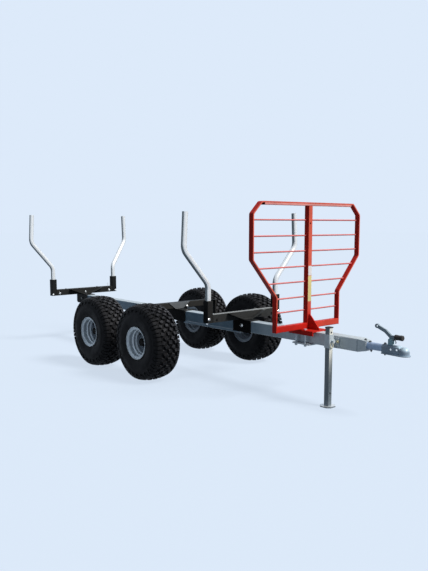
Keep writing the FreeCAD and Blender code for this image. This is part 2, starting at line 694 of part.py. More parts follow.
def head_blank(name):
    """A plate with the headboard's rounded outline, and its last feature."""
    body = new_body(name)
    drawing = new_sketch(body, name + "Outline", "YZ_Plane")
    right = [("head_low_half", FOOT_TOP), ("head_low_half", "head_waist"), ("head_half", "head_hip"),
             ("head_half", "head_shoulder"), ("head_top_half", "head_top")]
    left = [("-1 * " + across, up) for across, up in reversed(right)]
    outline(drawing, right + left)
    solid = pad(body, drawing, "head_depth")
    bends = along(Vector(1, 0, 0))
    rounded = round_edges(body, solid, "head_bend",
                          lambda edge: bends(edge) and edge.BoundBox.ZMin > size(FOOT_TOP + " + 1"))
    return put(body, x="head_front - head_depth"), rounded


def make_head_rim():
    """The headboard's ring of bent flat bar, open below between its two legs."""
    body, rounded = head_blank("head_ring")
    hollow(body, rounded, "head_bar", Vector(1, 0, 0))
    gap = box("head_gap", "head_depth + 2", "2 * ( head_low_half - head_bar )", "head_bar + 1",
              x="head_front - head_depth - 1", y="-1 * ( head_low_half - head_bar )", z=FOOT_TOP + " - 1")
    keep(cut("head_rim", body, gap), "head_rim")
    rail = square_tube("rail", "XZ_Plane", "head_depth", "head_rail", "3",
                       "2 * ( head_low_half - head_bar )", "5", midplane=True)
    keep(rail, "head_rail", x="head_front - head_depth / 2", z=FOOT_TOP + " + head_rail / 2")
    upper = square_tube("upper", "XZ_Plane", "head_depth", "top_rail", "2",
                        "2 * ( head_top_half - head_bend )", "3", midplane=True)
    keep(upper, "head_top_rail", x="head_front - head_depth / 2",
         z="head_top - head_bar - top_rail / 2")
    return body


def make_head_rods(rim):
    """Round rods across the headboard, cut to the inside of its ring."""
    pitch = "( rod_high - rod_low ) * 0.17"
    levels = ["rod_high - %d * %s" % (index, pitch) for index in range(6)] + ["rod_low"]
    rods = []
    for index, level in enumerate(levels):
        rods.append(cylinder("rod_%d" % index, "rod_radius", "2 * head_half",
                             x="head_front - post_depth - rod_radius", y="-1 * head_half", z=level, axis="Y"))
    inside = common("rods_inside", group("rods", rods), head_blank("head_window")[0])
    keep(cut("head_rods", inside, rim), "head_rods")


def make_head_post():
    """The middle post, its front brace and the folded foot on the beam."""
    post = square_tube("post", "XY_Plane", "post_depth", "post_width", "2.5",
                       "head_top - head_bar - top_rail - head_rail - " + FOOT_TOP, "3")
    put(post, x="head_front - post_depth / 2", z=FOOT_TOP + " + head_rail")
    hole = cylinder("post_hole", "4.5", "8", x="head_front - 5", z="head_top - 130", axis="X")
    keep(cut("head_post", post, hole), "head_post")
    foot = new_body("foot_channel")
    section = new_sketch(foot, "FootSection", "YZ_Plane")
    inside = "( base_half - base_plate )"
    low = "( base_plate - base_flange )"
    outline(section, [("-1 * base_half", low), ("-1 * " + inside, low), ("-1 * " + inside, "0"),
                      (inside, "0"), (inside, low), ("base_half", low), ("base_half", "base_plate"),
                      ("-1 * base_half", "base_plate")])
    solid = pad(foot, section, "base_front - base_rear")
    folds = along(Vector(1, 0, 0))
    round_edges(foot, solid, "base_plate * 0.8",
                lambda edge: folds(edge) and edge.BoundBox.ZMin > size("base_plate - 1"))
    put(foot, x="base_rear", z=BEAM_TOP)
    brace = new_body("brace")
    drawing = new_sketch(brace, "BraceOutline", "XZ_Plane")
    outline(drawing, [("0", "0"), ("brace_length", "0"), ("brace_length", "8"), ("8", "brace_height"),
                      ("0", "brace_height")])
    pad(brace, drawing, "base_plate", midplane=True)
    put(brace, x="head_front", z=FOOT_TOP)
    holes = []
    for index, (place, side) in enumerate(clamp_bolt_places()):
        across = "%d * ( base_half - clamp_inset )" % side
        holes.append(cylinder("foot_hole_%d" % index, "clamp_radius + 0.3", "base_plate + 10", x=place,
                              y=across, z=BEAM_TOP + " - 5"))
    keep(cut("head_foot", fuse("foot_blank", [foot, brace]), group("foot_holes", holes)), "head_foot")


def clamp_bolt_places():
    rows = ("head_front - head_depth - 20", "head_front + 22")
    return [(place, side) for place in rows for side in (-1, 1)]


def make_clamp():
    """The plate under the beam and the four bolts that pull the headboard's foot down on it."""
    under = "( beam_level - beam_size / 2 )"
    plate = box("clamp_blank", "144", "2 * base_half", "8", x="head_front - head_depth - 40",
                y="-1 * base_half", z=under + " - 8")
    holes = []
    bolts = []
    for index, (place, side) in enumerate(clamp_bolt_places()):
        across = "%d * ( base_half - clamp_inset )" % side
        holes.append(cylinder("clamp_hole_%d" % index, "clamp_radius + 0.3", "12", x=place, y=across,
                              z=under + " - 10"))
        shank = cylinder("shank_%d" % index, "clamp_radius", "beam_size + base_plate + 24", x=place,
                         y=across, z=under + " - 22")
        pieces = [shank]
        for name, level, tall in (("head", FOOT_TOP, 8), ("nut", under + " - 18", 10)):
            hexagon = doc.addObject("Part::Prism", "%s_%d" % (name, index))
            hexagon.Polygon = 6
            hexagon.Circumradius = 10.4
            hexagon.Height = tall
            pieces.append(put(hexagon, x=place, y=across, z=level))
        bolts.append(fuse("clamp_bolt_%d" % index, pieces))
    keep(cut("clamp_plate", plate, group("clamp_holes", holes)), "clamp_plate")
    keep(group("clamp_bolts", bolts), "clamp_bolts")


def make_hitch():
    """The tapered nose, the neck tube and the pressed ball coupling."""
    nose = new_body("nose_block")
    large = new_sketch(nose, "NoseRear", "YZ_Plane")
    outline(large, rectangle("beam_size", "beam_size"))
    small = new_sketch(nose, "NoseFront", "YZ_Plane")
    small.setExpression("AttachmentOffset.Base.z", bound("nose_length"))
    outline(small, rectangle("beam_size - 22", "beam_size - 22"))
    doc.recompute()
    taper = nose.newObject("PartDesign::AdditiveLoft", "NoseTaper")
    taper.Profile = large
    taper.Sections = [small]
    put(nose, x="beam_front", z="beam_level")
    bore = cylinder("nose_bore", "neck_radius + 0.3", "nose_length + 10", x="beam_front - 5",
                    z="neck_level", axis="X")
    keep(cut("hitch_nose", nose, bore), "hitch_nose")
    neck = new_body("neck")
    section = new_sketch(neck, "NeckSection", "YZ_Plane")
    ring(section, "neck_radius")
    ring(section, "neck_radius - 5")
    pad(neck, section, "neck_end - beam_front - 8")
    keep(neck, "hitch_neck", x="beam_front + 8", z="neck_level")


def flange_outline(body):
    """Plan of the coupling's flange: straight sides that widen to a round end about the ball."""
    drawing = new_sketch(body, "FlangePlan", "XY_Plane")
    rear, ball = size("neck_end - 16"), size("ball_place")
    rear_half, round_half = size("neck_radius + 9"), size("ball_radius + coupler_wall + flange_lip")
    corners = [Vector(ball, round_half, 0), Vector(rear, rear_half, 0), Vector(rear, -rear_half, 0),
               Vector(ball, -round_half, 0)]
    for start, end in zip(corners, corners[1:]):
        drawing.addGeometry(Part.LineSegment(start, end), False)
    drawing.addGeometry(Part.Arc(corners[-1], Vector(ball + round_half, 0, 0), corners[0]), False)
    return drawing


def make_coupler():
    """A pressed ball coupling: flange, channel over the neck, dome over the ball and socket."""
    body = new_body("coupler_shell")
    pad(body, flange_outline(body), "coupler_wall")
    cover = new_sketch(body, "CoverPlan", "XY_Plane")
    rear, front = "neck_end - 16", "ball_place - 20"
    wide, slim = "neck_radius + 5", "neck_radius + 1"
    outline(cover, [(rear, "-1 * ( %s )" % wide), (front, "-1 * ( %s )" % slim),
                    (front, slim), (rear, wide)])
    top = pad(body, cover, "coupler_top - coupler_low")
    height = size("coupler_top - coupler_low")
    round_edges(body, top, "shell_round",
                lambda edge: edge.BoundBox.ZMin > height - 0.1 and edge.BoundBox.XMax > size("neck_end"))
    put(body, z="coupler_low")
    around = "ball_radius + coupler_wall"
    drum = cylinder("ball_drum", around, "ball_level - coupler_low", x="ball_place", z="coupler_low")
    dome = doc.addObject("Part::Sphere", "ball_dome")
    dome.setExpression("Radius", bound(around))
    dome.Angle1 = 0
    put(dome, x="ball_place", z="ball_level")
    shell = fuse("coupler_blank", [body, drum, dome])
    seat = cylinder("neck_seat", "neck_radius + 0.3", "22", x="neck_end - 20", z="neck_level", axis="X")
    drop = cylinder("ball_drop", "ball_radius", "ball_level - coupler_low + 5", x="ball_place",
                    z="coupler_low - 5")
    ball = doc.addObject("Part::Sphere", "ball_room")
    ball.setExpression("Radius", bound("ball_radius"))
    put(ball, x="ball_place", z="ball_level")
    room = box("shell_room", "ball_place - ball_radius - neck_end - 6", "2 * ( neck_radius - 5 )",
               "coupler_top - coupler_low - coupler_wall + 2", x="neck_end + 2",
               y="-1 * ( neck_radius - 5 )", z="coupler_low - 5")
    keep(cut("coupler", shell, fuse("coupler_room", [seat, drop, ball, room])), "coupler")


def make_yoke():
    """The lever's yoke on the coupling, with its pin."""
    yoke = new_body("yoke_plate")
    section = new_sketch(yoke, "YokeSection", "YZ_Plane")
    half, inside = "( lever_width / 2 + 5 )", "( lever_width / 2 + 2 )"
    top = "( lever_level + 11 - coupler_top )"
    outline(section, [("-1 * " + half, "0"), (half, "0"), (half, top), (inside, top), (inside, "4"),
                      ("-1 * " + inside, "4"), ("-1 * " + inside, top), ("-1 * " + half, top)])
    ears = pad(yoke, section, "yoke_length")
    across = along(Vector(0, 1, 0))
    round_edges(yoke, ears, "11",
                lambda edge: across(edge) and edge.BoundBox.ZMin > size(top) - 1)
    put(yoke, x="lever_place - yoke_length / 2", z="coupler_top")
    pin = cylinder("yoke_pin", "lever_pin", "lever_width + 16", x="lever_place",
                   y="-1 * lever_width / 2 - 8", z="lever_level", axis="Y")
    heads = [cylinder("pin_head_%d" % index, "lever_pin + 3", "3", x="lever_place", y=start,
                      z="lever_level", axis="Y")
             for index, start in enumerate(("-1 * lever_width / 2 - 8", "lever_width / 2 + 5"))]
    keep(fuse("lever_yoke", [yoke, pin] + heads), "lever_yoke")


def make_lever():
    """The hand lever: a bent bar with an eye at its rear end and a round grip at its front end."""
    knee = Vector(0, size("lever_knee"), 0)
    bend = knee + Vector(-size("bend_back"), size("bend_rise"), 0)
    eye = knee + Vector(-size("eye_back"), size("eye_rise"), 0)
    tail = knee + Vector(24, 2, 0)
    arm = new_body("lever_arm")
    drawing = new_sketch(arm, "LeverOutline", "XZ_Plane")
    closed_line(drawing, strip([eye, bend, knee, tail], size("lever_blade")))
    pad(arm, drawing, "lever_width", midplane=True)
    put(arm, x="lever_place", z="lever_level")
    near_side = "-1 * lever_width / 2"
    lug = box("lever_lug", "lever_blade", "lever_width", "lever_knee", x="lever_place - lever_blade / 2",
              y=near_side, z="lever_level")
    boss = cylinder("lever_boss", "lever_pin + 7", "lever_width", x="lever_place", y=near_side,
                    z="lever_level", axis="Y")
    eye_x, eye_z = "lever_place - eye_back", "lever_level + lever_knee + eye_rise"
    head = cylinder("lever_eye", "eye_radius", "lever_width", x=eye_x, y=near_side, z=eye_z, axis="Y")
    tang = cylinder("lever_tang", "tang_radius", "grip_length - 7", x="lever_place + 22", z=GRIP_LEVEL,
                    axis="X")
    blank = fuse("lever_blank", [arm, lug, boss, head, tang])
    bores = group("lever_bores", [
        cylinder("lever_bore", "lever_pin + running_gap", "lever_width + 8", x="lever_place",
                 y=near_side + " - 4", z="lever_level", axis="Y"),
        cylinder("eye_bore", "eye_radius - 6", "lever_width + 8", x=eye_x, y=near_side + " - 4", z=eye_z,
                 axis="Y")])
    keep(cut("hand_lever", blank, bores), "hand_lever")
    handle = new_body("grip_body")
    profile = new_sketch(handle, "GripProfile", "YZ_Plane")
    bore, floor, edge = "tang_radius + 0.1", "grip_length - 9", "grip_radius - 3"
    outline(profile, [("0", bore), (floor, bore), (floor, "0"), ("grip_length", "0"), ("grip_length", edge),
                      ("grip_length - 3", "grip_radius"), ("grip_length * 0.7", "grip_radius"),
                      ("grip_length * 0.67", "grip_radius - 1"), ("grip_length * 0.33", "grip_radius - 1"),
                      ("grip_length * 0.3", "grip_radius"), ("3", "grip_radius"), ("0", edge)])
    revolve(handle, profile)
    turn(handle, Vector(0, 0, 1), -90)
    keep(handle, "lever_grip", x="lever_place + 25", z=GRIP_LEVEL)


def make_jack():
    """The parking leg: a square tube that slides in a sleeve beside the beam."""
    outer = "( jack_size + 2 * jack_gap + 2 * sleeve_wall )"
    height = "sleeve_high - sleeve_low"
    sleeve = square_tube("sleeve", "XY_Plane", outer, outer, "sleeve_wall", height, "5")
    put(sleeve, x="jack_place", y="-1 * jack_side", z="sleeve_low")
    plate = box("jack_plate_blank", "jack_plate_length", "jack_plate", "beam_size - 4",
                x="jack_place - jack_plate_length / 2", y="-1 * beam_size / 2 - jack_plate",
                z="beam_level - beam_size / 2 + 2")
    reach = "jack_side - %s / 2 - beam_size / 2 - jack_plate + 1" % outer
    spacer = cylinder("jack_spacer", "19", reach, x="jack_place", y="%s / 2 - jack_side - 0.5" % outer,
                      z="beam_level", axis="Y")
    pin = cylinder("lock_pin", "lock_radius", "16", x="jack_place + %s / 2 - 1" % outer,
                   y="-1 * jack_side", z="beam_level + lock_rise", axis="X")
    knob = cylinder("lock_knob", "lock_radius + 3", "7", x="jack_place + %s / 2 + 12" % outer,
                    y="-1 * jack_side", z="beam_level + lock_rise", axis="X")
    keep(fuse("jack_bracket", [sleeve, plate, spacer, pin, knob]), "jack_bracket")
    height = "jack_top - foot_plate"
    leg = square_tube("leg", "XY_Plane", "jack_size", "jack_size", "jack_wall", height, "4")
    put(leg, x="jack_place", y="-1 * jack_side", z="foot_plate")
    holes = [cylinder("leg_hole_%d" % index, "lock_radius + 0.5", "jack_size + 10",
                      x="jack_place - jack_size / 2 - 5", y="-1 * jack_side", z=level, axis="X")
             for index, level in enumerate(("low_hole", "beam_level + lock_rise", "jack_top - 28"))]
    keep(cut("jack_leg", leg, group("leg_holes", holes)), "jack_leg")
    cap = box("cap_block", "jack_size + 2", "jack_size + 2", "6")
    keep(cap, "jack_cap", x="jack_place - jack_size / 2 - 1", y="-1 * jack_side - jack_size / 2 - 1",
         z="jack_top")
    foot = new_body("foot")
    drawing = new_sketch(foot, "FootOutline", "XY_Plane")
    half, short = "( foot_size / 2 )", "( foot_size / 2 - 20 )"
    outline(drawing, [(half, "-1 * " + short), (half, short), (short, half), ("-1 * " + short, half),
                      ("-1 * " + half, short), ("-1 * " + half, "-1 * " + short),
                      ("-1 * " + short, "-1 * " + half), (short, "-1 * " + half)])
    pad(foot, drawing, "foot_plate")
    keep(foot, "jack_foot", x="jack_place", y="-1 * jack_side")


make_beam()
make_saddle("front_saddle", "saddle_length", "bunk_front + saddle_shift")
make_saddle("rear_saddle", "saddle_length", "bunk_rear + saddle_shift")
make_saddle("axle_saddle", "axle_saddle_length", "saddle_shift")
for bunk, middle, turned in (("front", "bunk_front", "0"), ("rear", "bunk_rear", "stake_turn")):
    make_bunk(bunk + "_bunk", middle)
    make_pockets(bunk + "_pockets", middle)
    make_stakes(bunk + "_stakes", middle, turned)
make_axle()
make_rocker("right", -1)
make_rocker("left", 1)
make_wheels()
make_head_rods(make_head_rim())
make_head_post()
make_clamp()
make_hitch()
make_coupler()
make_yoke()
make_lever()
make_jack()
doc.recompute()

for item in doc.Objects:
    if "Invalid" in item.State or "Error" in item.State:
        raise RuntimeError("%s did not build" % item.Label)
for item in PARTS:
    if item.Shape.isNull() or not item.Shape.isValid() or not item.Shape.Solids:
        raise RuntimeError("%s has no valid solid" % item.Label)

os.makedirs("parts", exist_ok=True)
for item in PARTS:
    item.Shape.exportStep("parts/%s.step" % item.Label)
    print("%-20s %d solids  %10.0f mm3" % (item.Label, len(item.Shape.Solids), item.Shape.Volume))
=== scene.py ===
import json
import math
import bmesh
import bpy
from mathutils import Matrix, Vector


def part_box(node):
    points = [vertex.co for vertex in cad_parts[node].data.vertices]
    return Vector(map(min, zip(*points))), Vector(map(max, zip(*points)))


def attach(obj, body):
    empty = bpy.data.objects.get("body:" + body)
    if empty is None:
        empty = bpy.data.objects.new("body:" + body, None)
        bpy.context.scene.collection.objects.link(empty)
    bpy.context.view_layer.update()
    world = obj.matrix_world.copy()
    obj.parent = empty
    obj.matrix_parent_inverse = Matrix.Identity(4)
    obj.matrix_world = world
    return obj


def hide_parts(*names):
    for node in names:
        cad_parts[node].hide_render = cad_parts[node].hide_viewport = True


# %% [markdown]
# # A small forestry trailer, fitted out and finished
# The trailer's frame, wheels, bunks and headboard come from the CAD model. This notebook gives them their
# finishes and adds what a workshop adds last: knobbly tyres, bolts, pins, caps, weld beads and blank plates.
# Every length is in metres. +X points to the hitch, +Y to the trailer's left and +Z up.

# %% Load the trailer and keep the size of its CAD model
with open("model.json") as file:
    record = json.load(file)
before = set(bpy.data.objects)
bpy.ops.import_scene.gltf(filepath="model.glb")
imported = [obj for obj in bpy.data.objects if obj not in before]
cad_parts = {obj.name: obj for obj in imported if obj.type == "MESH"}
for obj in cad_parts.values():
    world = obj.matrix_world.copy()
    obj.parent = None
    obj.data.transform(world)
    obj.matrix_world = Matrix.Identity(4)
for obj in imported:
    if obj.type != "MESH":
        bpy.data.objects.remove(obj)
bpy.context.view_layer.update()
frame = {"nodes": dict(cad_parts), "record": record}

# %% [markdown]
# ## The camera
# The camera stands ahead of the trailer's right front corner, at chest height, and looks down a little.
# A long lens keeps the beam and the stakes nearly parallel, as in a catalogue. The lens and the place were
# found together, so that the wheels, the bunks and the headboard all fall where they should. The lens is
# shifted slightly, so that the trailer sits a little off the middle of the frame. Both angles are in radians.

# %% The camera
TILT_DOWN, TURN = 0.115094, 0.861591
camera = bpy.data.objects.new("camera", bpy.data.cameras.new("camera"))
bpy.context.scene.collection.objects.link(camera)
camera.data.sensor_fit = "HORIZONTAL"
camera.data.sensor_width = 36
camera.data.lens = 54.50
camera.data.shift_x = 0.0079
camera.data.shift_y = 0.0323
camera.location = (3.8770, -3.2134, 1.1279)
camera.rotation_euler = (math.pi / 2 - TILT_DOWN, 0, TURN)
bpy.context.scene.camera = camera
bpy.context.scene.view_settings.view_transform = "Standard"
print("camera at", tuple(round(v, 2) for v in camera.location), "lens", camera.data.lens, "mm")

# %% [markdown]
# ## Floor, sky and light
# A pale blue floor runs into a pale blue backdrop, so the trailer stands out cleanly and keeps its shadow.
# One soft lamp stands high in front of the trailer. It leaves the right side in shade, which is what makes
# the beam look square and the tubes look round. The camera, shiny metal and clear things see the floor and
# the backdrop pale, but both give back less light than that to the trailer. Most of the floor's paleness is
# its own glow, as on a lit studio table, so that the shadow stays soft and light.

# %% The backdrop's colour, and helpers that mix numbers and shaders
PALE = (0.723, 0.823, 0.956, 1)


def feed(tree, socket, value):
    """Give a socket a plain value, or link another node's output to it."""
    if isinstance(value, (int, float, tuple)):
        socket.default_value = value
    else:
        tree.links.new(value, socket)


def math_node(tree, operation, *values, clamp=False):
    """One Math node. Each value is a number or another node's output."""
    node = tree.nodes.new("ShaderNodeMath")
    node.operation = operation
    node.use_clamp = clamp
    for socket, value in zip(node.inputs, values):
        feed(tree, socket, value)
    return node.outputs[0]


def times(tree, first, second):
    """One mask dimmed by another, or by a number."""
    return math_node(tree, "MULTIPLY", first, second)


def larger(tree, first, second):
    """Two masks laid over each other."""
    return math_node(tree, "MAXIMUM", first, second)


def seen_directly(tree):
    """A value that is 1 for what the camera, reflections and clear things see, and 0 for scattered light."""
    ray = tree.nodes.new("ShaderNodeLightPath").outputs
    return larger(tree, larger(tree, ray["Is Camera Ray"], ray["Is Glossy Ray"]), ray["Is Transmission Ray"])


def plain(tree, kind, colour):
    """A shader of one colour."""
    node = tree.nodes.new(kind)
    node.inputs["Color"].default_value = colour
    return node


def choose(tree, factor, first, second):
    """Mix two shaders by a number or by another node's output."""
    node = tree.nodes.new("ShaderNodeMixShader")
    for socket, value in zip(node.inputs, (factor, first.outputs[0], second.outputs[0])):
        feed(tree, socket, value)
    return node


print("backdrop", PALE[:3])

# %% The sky: the pale backdrop where it is seen, and a weaker blue where it only gives light
world = bpy.data.worlds.new("sky")
bpy.context.scene.world = world
world.use_nodes = True
sky = world.node_tree
sky.nodes.clear()
SKY_LIGHT, SKY_STRENGTH = (0.70, 0.86, 1.0, 1), 0.20
scattered = plain(sky, "ShaderNodeBackground", SKY_LIGHT)
scattered.inputs["Strength"].default_value = SKY_STRENGTH
backdrop = choose(sky, seen_directly(sky), scattered, plain(sky, "ShaderNodeBackground", PALE))
sky.links.new(backdrop.outputs[0], sky.nodes.new("ShaderNodeOutputWorld").inputs[0])
print("sky gives light at strength", SKY_STRENGTH)

# %% The floor, a wide plane under the wheels
FLOOR_SIZE, GLOW_SHARE, FLOOR_DIM = 160, 0.82, (0.10, 0.12, 0.14, 1)
bpy.ops.object.select_all(action="DESELECT")
bpy.ops.mesh.primitive_plane_add(size=FLOOR_SIZE, location=(0, 0, 0))
floor = bpy.context.object
floor.name = floor.data.name = "floor"
paper = bpy.data.materials.new("floor_paper")
paper.use_nodes = True
tree = paper.node_tree
tree.nodes.clear()
pale_side = choose(tree, GLOW_SHARE, plain(tree, "ShaderNodeBsdfDiffuse", PALE),
                   plain(tree, "ShaderNodeEmission", PALE))
dim_side = plain(tree, "ShaderNodeBsdfDiffuse", FLOOR_DIM)
paper_look = choose(tree, seen_directly(tree), dim_side, pale_side)
tree.links.new(paper_look.outputs[0], tree.nodes.new("ShaderNodeOutputMaterial").inputs[0])
floor.data.materials.append(paper)
print("floor", floor.dimensions.x, "m wide")

# %% The lamp
lamp = bpy.data.objects.new("key_lamp", bpy.data.lights.new("key_lamp", "SUN"))
bpy.context.scene.collection.objects.link(lamp)
lamp.data.energy = 3.5
lamp.data.angle = math.radians(18)
lamp.data.color = (1.0, 0.975, 0.93)
toward_lamp = Vector((0.84, 0.36, 0.98))
lamp.rotation_euler = toward_lamp.to_track_quat("Z", "Y").to_euler()
print("lamp", lamp.data.energy, "from", tuple(toward_lamp))

# %% [markdown]
# ## Effects that several finishes share
# Paint chips and zinc rub bright along sharp edges, dust settles on what faces up, and cast or sprayed
# surfaces are never quite even. Each effect is a node group with named inputs and outputs, so that a finish
# is a short list of effects with its own values. A group could hold the whole shader, but then every finish
# would be the same one. These give out only masks and heights.
# One more group, Facing, picks the faces where light or shade is painted into a colour.

# %% Helpers: an empty node group with named sockets, a ramp and noise
VECTOR = None  # marks an input that takes a place or a direction and has no default


def new_group(name, inputs, outputs):
    """An empty group. Each input has a number as its default or is a VECTOR, and each output is a number."""
    group = bpy.data.node_groups.new(name, "ShaderNodeTree")
    for label, value in inputs.items():
        kind = "NodeSocketVector" if value is VECTOR else "NodeSocketFloat"
        socket = group.interface.new_socket(label, in_out="INPUT", socket_type=kind)
        if value is not VECTOR:
            socket.default_value = value
    for label in outputs:
        group.interface.new_socket(label, in_out="OUTPUT", socket_type="NodeSocketFloat")
    start = group.nodes.new("NodeGroupInput")
    end = group.nodes.new("NodeGroupOutput")
    return group, start.outputs, end.inputs


def ramp(tree, value, low, high):
    """Stretch a value so that low becomes 0 and high becomes 1, with soft ends."""
    node = tree.nodes.new("ShaderNodeMapRange")
    node.interpolation_type = "SMOOTHSTEP"
    for name, given in (("Value", value), ("From Min", low), ("From Max", high)):
        feed(tree, node.inputs[name], given)
    return node.outputs["Result"]


def noise(tree, place, scale, detail=4, rough=0.55):
    """Clouds from 0 to 1, finer where the scale is larger."""
    node = tree.nodes.new("ShaderNodeTexNoise")
    for name, given in (("Vector", place), ("Scale", scale), ("Detail", detail), ("Roughness", rough)):
        feed(tree, node.inputs[name], given)
    return node.outputs["Fac"]


def coordinate(tree, vector, axis):
    """How far a place lies, or a direction points, along X, Y or Z."""
    split = tree.nodes.new("ShaderNodeSeparateXYZ")
    tree.links.new(vector, split.inputs[0])
    return split.outputs[axis]


def agreement(tree, direction):
    """How well the surface's own direction agrees with another one: 1 when they are the same."""
    product = tree.nodes.new("ShaderNodeVectorMath")
    product.operation = "DOT_PRODUCT"
    tree.links.new(direction, product.inputs[0])
    tree.links.new(tree.nodes.new("ShaderNodeNewGeometry").outputs["Normal"], product.inputs[1])
    return product.outputs["Value"]


print("helpers for groups ready")

# %% Rubbed edges: where a rounded-off copy of the surface would face another way, the edge is sharp
rubbed, given, gives = new_group(
    "Rubbed edges", {"Place": VECTOR, "Width": 0.002, "Break up": 60.0, "Amount": 0.6}, ["Mask"])
soft = rubbed.nodes.new("ShaderNodeBevel")
soft.samples = 4
rubbed.links.new(given["Width"], soft.inputs["Radius"])
sharp = ramp(rubbed, math_node(rubbed, "SUBTRACT", 1.0, agreement(rubbed, soft.outputs[0])), 0.01, 0.16)
patchy = ramp(rubbed, noise(rubbed, given["Place"], given["Break up"]), 0.35, 0.62)
worn = times(rubbed, sharp, patchy)
rubbed.links.new(math_node(rubbed, "MULTIPLY", worn, given["Amount"], clamp=True), gives["Mask"])
print("group", rubbed.name)

# %% Settled dust: thick on what faces up, thin elsewhere, with clouds in it
dust, given, gives = new_group(
    "Settled dust", {"Place": VECTOR, "Amount": 0.4, "Cloud size": 9.0}, ["Mask"])
normal = dust.nodes.new("ShaderNodeNewGeometry").outputs["Normal"]
upward = ramp(dust, coordinate(dust, normal, "Z"), -0.5, 1.0)
clouds = ramp(dust, noise(dust, given["Place"], given["Cloud size"], 6, 0.6), 0.3, 0.75)
base = math_node(dust, "ADD", times(dust, upward, 0.7), 0.15)
settled = math_node(dust, "MULTIPLY", times(dust, base, clouds), given["Amount"], clamp=True)
dust.links.new(settled, gives["Mask"])
print("group", dust.name)

# %% Zinc grain: crystals that froze in the bath, runs that follow gravity, and a broad mottle
zinc, given, gives = new_group(
    "Zinc grain", {"Place": VECTOR, "Crystal size": 90.0}, ["Crystals", "Mottle", "Height"])
cells = zinc.nodes.new("ShaderNodeTexVoronoi")
zinc.links.new(given["Place"], cells.inputs["Vector"])
zinc.links.new(given["Crystal size"], cells.inputs["Scale"])
tint = zinc.nodes.new("ShaderNodeSeparateColor")
zinc.links.new(cells.outputs["Color"], tint.inputs[0])
zinc.links.new(tint.outputs[0], gives["Crystals"])
stretch = zinc.nodes.new("ShaderNodeMapping")
stretch.inputs["Scale"].default_value = (1.0, 1.0, 0.22)
zinc.links.new(given["Place"], stretch.inputs["Vector"])
zinc.links.new(noise(zinc, stretch.outputs[0], 11, 5, 0.6), gives["Mottle"])
zinc.links.new(noise(zinc, given["Place"], 70, 3, 0.5), gives["Height"])
print("group", zinc.name)

# %% Facing: the part of a surface that looks a given way, such as toward the lamp, where light or shade is painted
facing, given, gives = new_group("Facing", {"Toward": VECTOR, "Low": 0.4, "High": 0.9}, ["Mask"])
facing.links.new(ramp(facing, agreement(facing, given["Toward"]), given["Low"], given["High"]), gives["Mask"])
print("group", facing.name)

# %% [markdown]
# ## Finishes
# Each finish is a Principled shader whose colour, roughness and bump come from the groups above. A helper
# sets the plain numbers straight on the shader and blends a few colours by masks, which keeps each finish
# readable as a recipe: base colour, then mottle, then dust, then rubbed edges. Each finish also has two
# tones, and the second one is painted light or painted shade, stronger on zinc than on paint. A mask of the
# faces that look a given way, or lie in a given stretch of the trailer, says where the second one goes.

# %% Helpers for a finish: a new material, its groups, and colours and numbers by masks
FINISHES = {}


def new_finish(name, roughness, specular):
    """A material with its plain numbers set, its shader and the place on the piece that patterns read."""
    material = bpy.data.materials.new(name)
    material.use_nodes = True
    tree = material.node_tree
    shader = tree.nodes["Principled BSDF"]
    shader.inputs["Roughness"].default_value = roughness
    shader.inputs["Specular IOR Level"].default_value = specular
    place = tree.nodes.new("ShaderNodeTexCoord").outputs["Object"]
    FINISHES[name] = material
    return tree, shader, place


def use_group(tree, group, **values):
    """Place a group and set its inputs, given as words with _ for a space."""
    node = tree.nodes.new("ShaderNodeGroup")
    node.node_tree = group
    for word, value in values.items():
        feed(tree, node.inputs[word.replace("_", " ")], value)
    return node.outputs


def blend(tree, factor, first, second):
    """Mix two colours by a mask. Each colour is three numbers or another node's output."""
    node = tree.nodes.new("ShaderNodeMix")
    node.data_type = "RGBA"
    tree.links.new(factor, node.inputs[0])
    for socket, colour in ((node.inputs[6], first), (node.inputs[7], second)):
        feed(tree, socket, (*colour, 1) if isinstance(colour, tuple) else colour)
    return node.outputs[2]


def vary(tree, value, low, high):
    """Turn a 0 to 1 value into a roughness or another number between low and high."""
    node = tree.nodes.new("ShaderNodeMapRange")
    tree.links.new(value, node.inputs["Value"])
    node.inputs["To Min"].default_value = low
    node.inputs["To Max"].default_value = high
    return node.outputs["Result"]


print("a finish can be built from", len(bpy.data.node_groups), "groups")

# %% Helpers for a finish: relief, and masks by direction and place
def raise_surface(tree, shader, height, strength, distance=0.001):
    """Give a surface a fine relief."""
    bump = tree.nodes.new("ShaderNodeBump")
    bump.inputs["Strength"].default_value = strength
    bump.inputs["Distance"].default_value = distance
    tree.links.new(height, bump.inputs["Height"])
    tree.links.new(bump.outputs[0], shader.inputs["Normal"])


def looks_toward(x, y, z, low, high):
    """A mask for the faces that look toward a direction, where a finish paints light or shade, to be built
    inside a finish.
    """
    return lambda tree, place: use_group(tree, facing, Toward=(x, y, z), Low=low, High=high)["Mask"]


# Painted light: the faces that look toward the lamp get a finish's lighter tones.
PAINTED_LIGHT_TOWARD_LAMP = looks_toward(0.90, 0.36, 0.25, 0.30, 0.80)
print("masks ready")

# %% The recipe for zinc: a first pair of tones and a second one for painted light and shade, with a mask that says where
CRYSTAL_GAIN, CRYSTAL_SHOW = 1.3, 0.22
DRY_DUST, ZINC_EDGE = (0.34, 0.34, 0.32), (0.80, 0.82, 0.84)


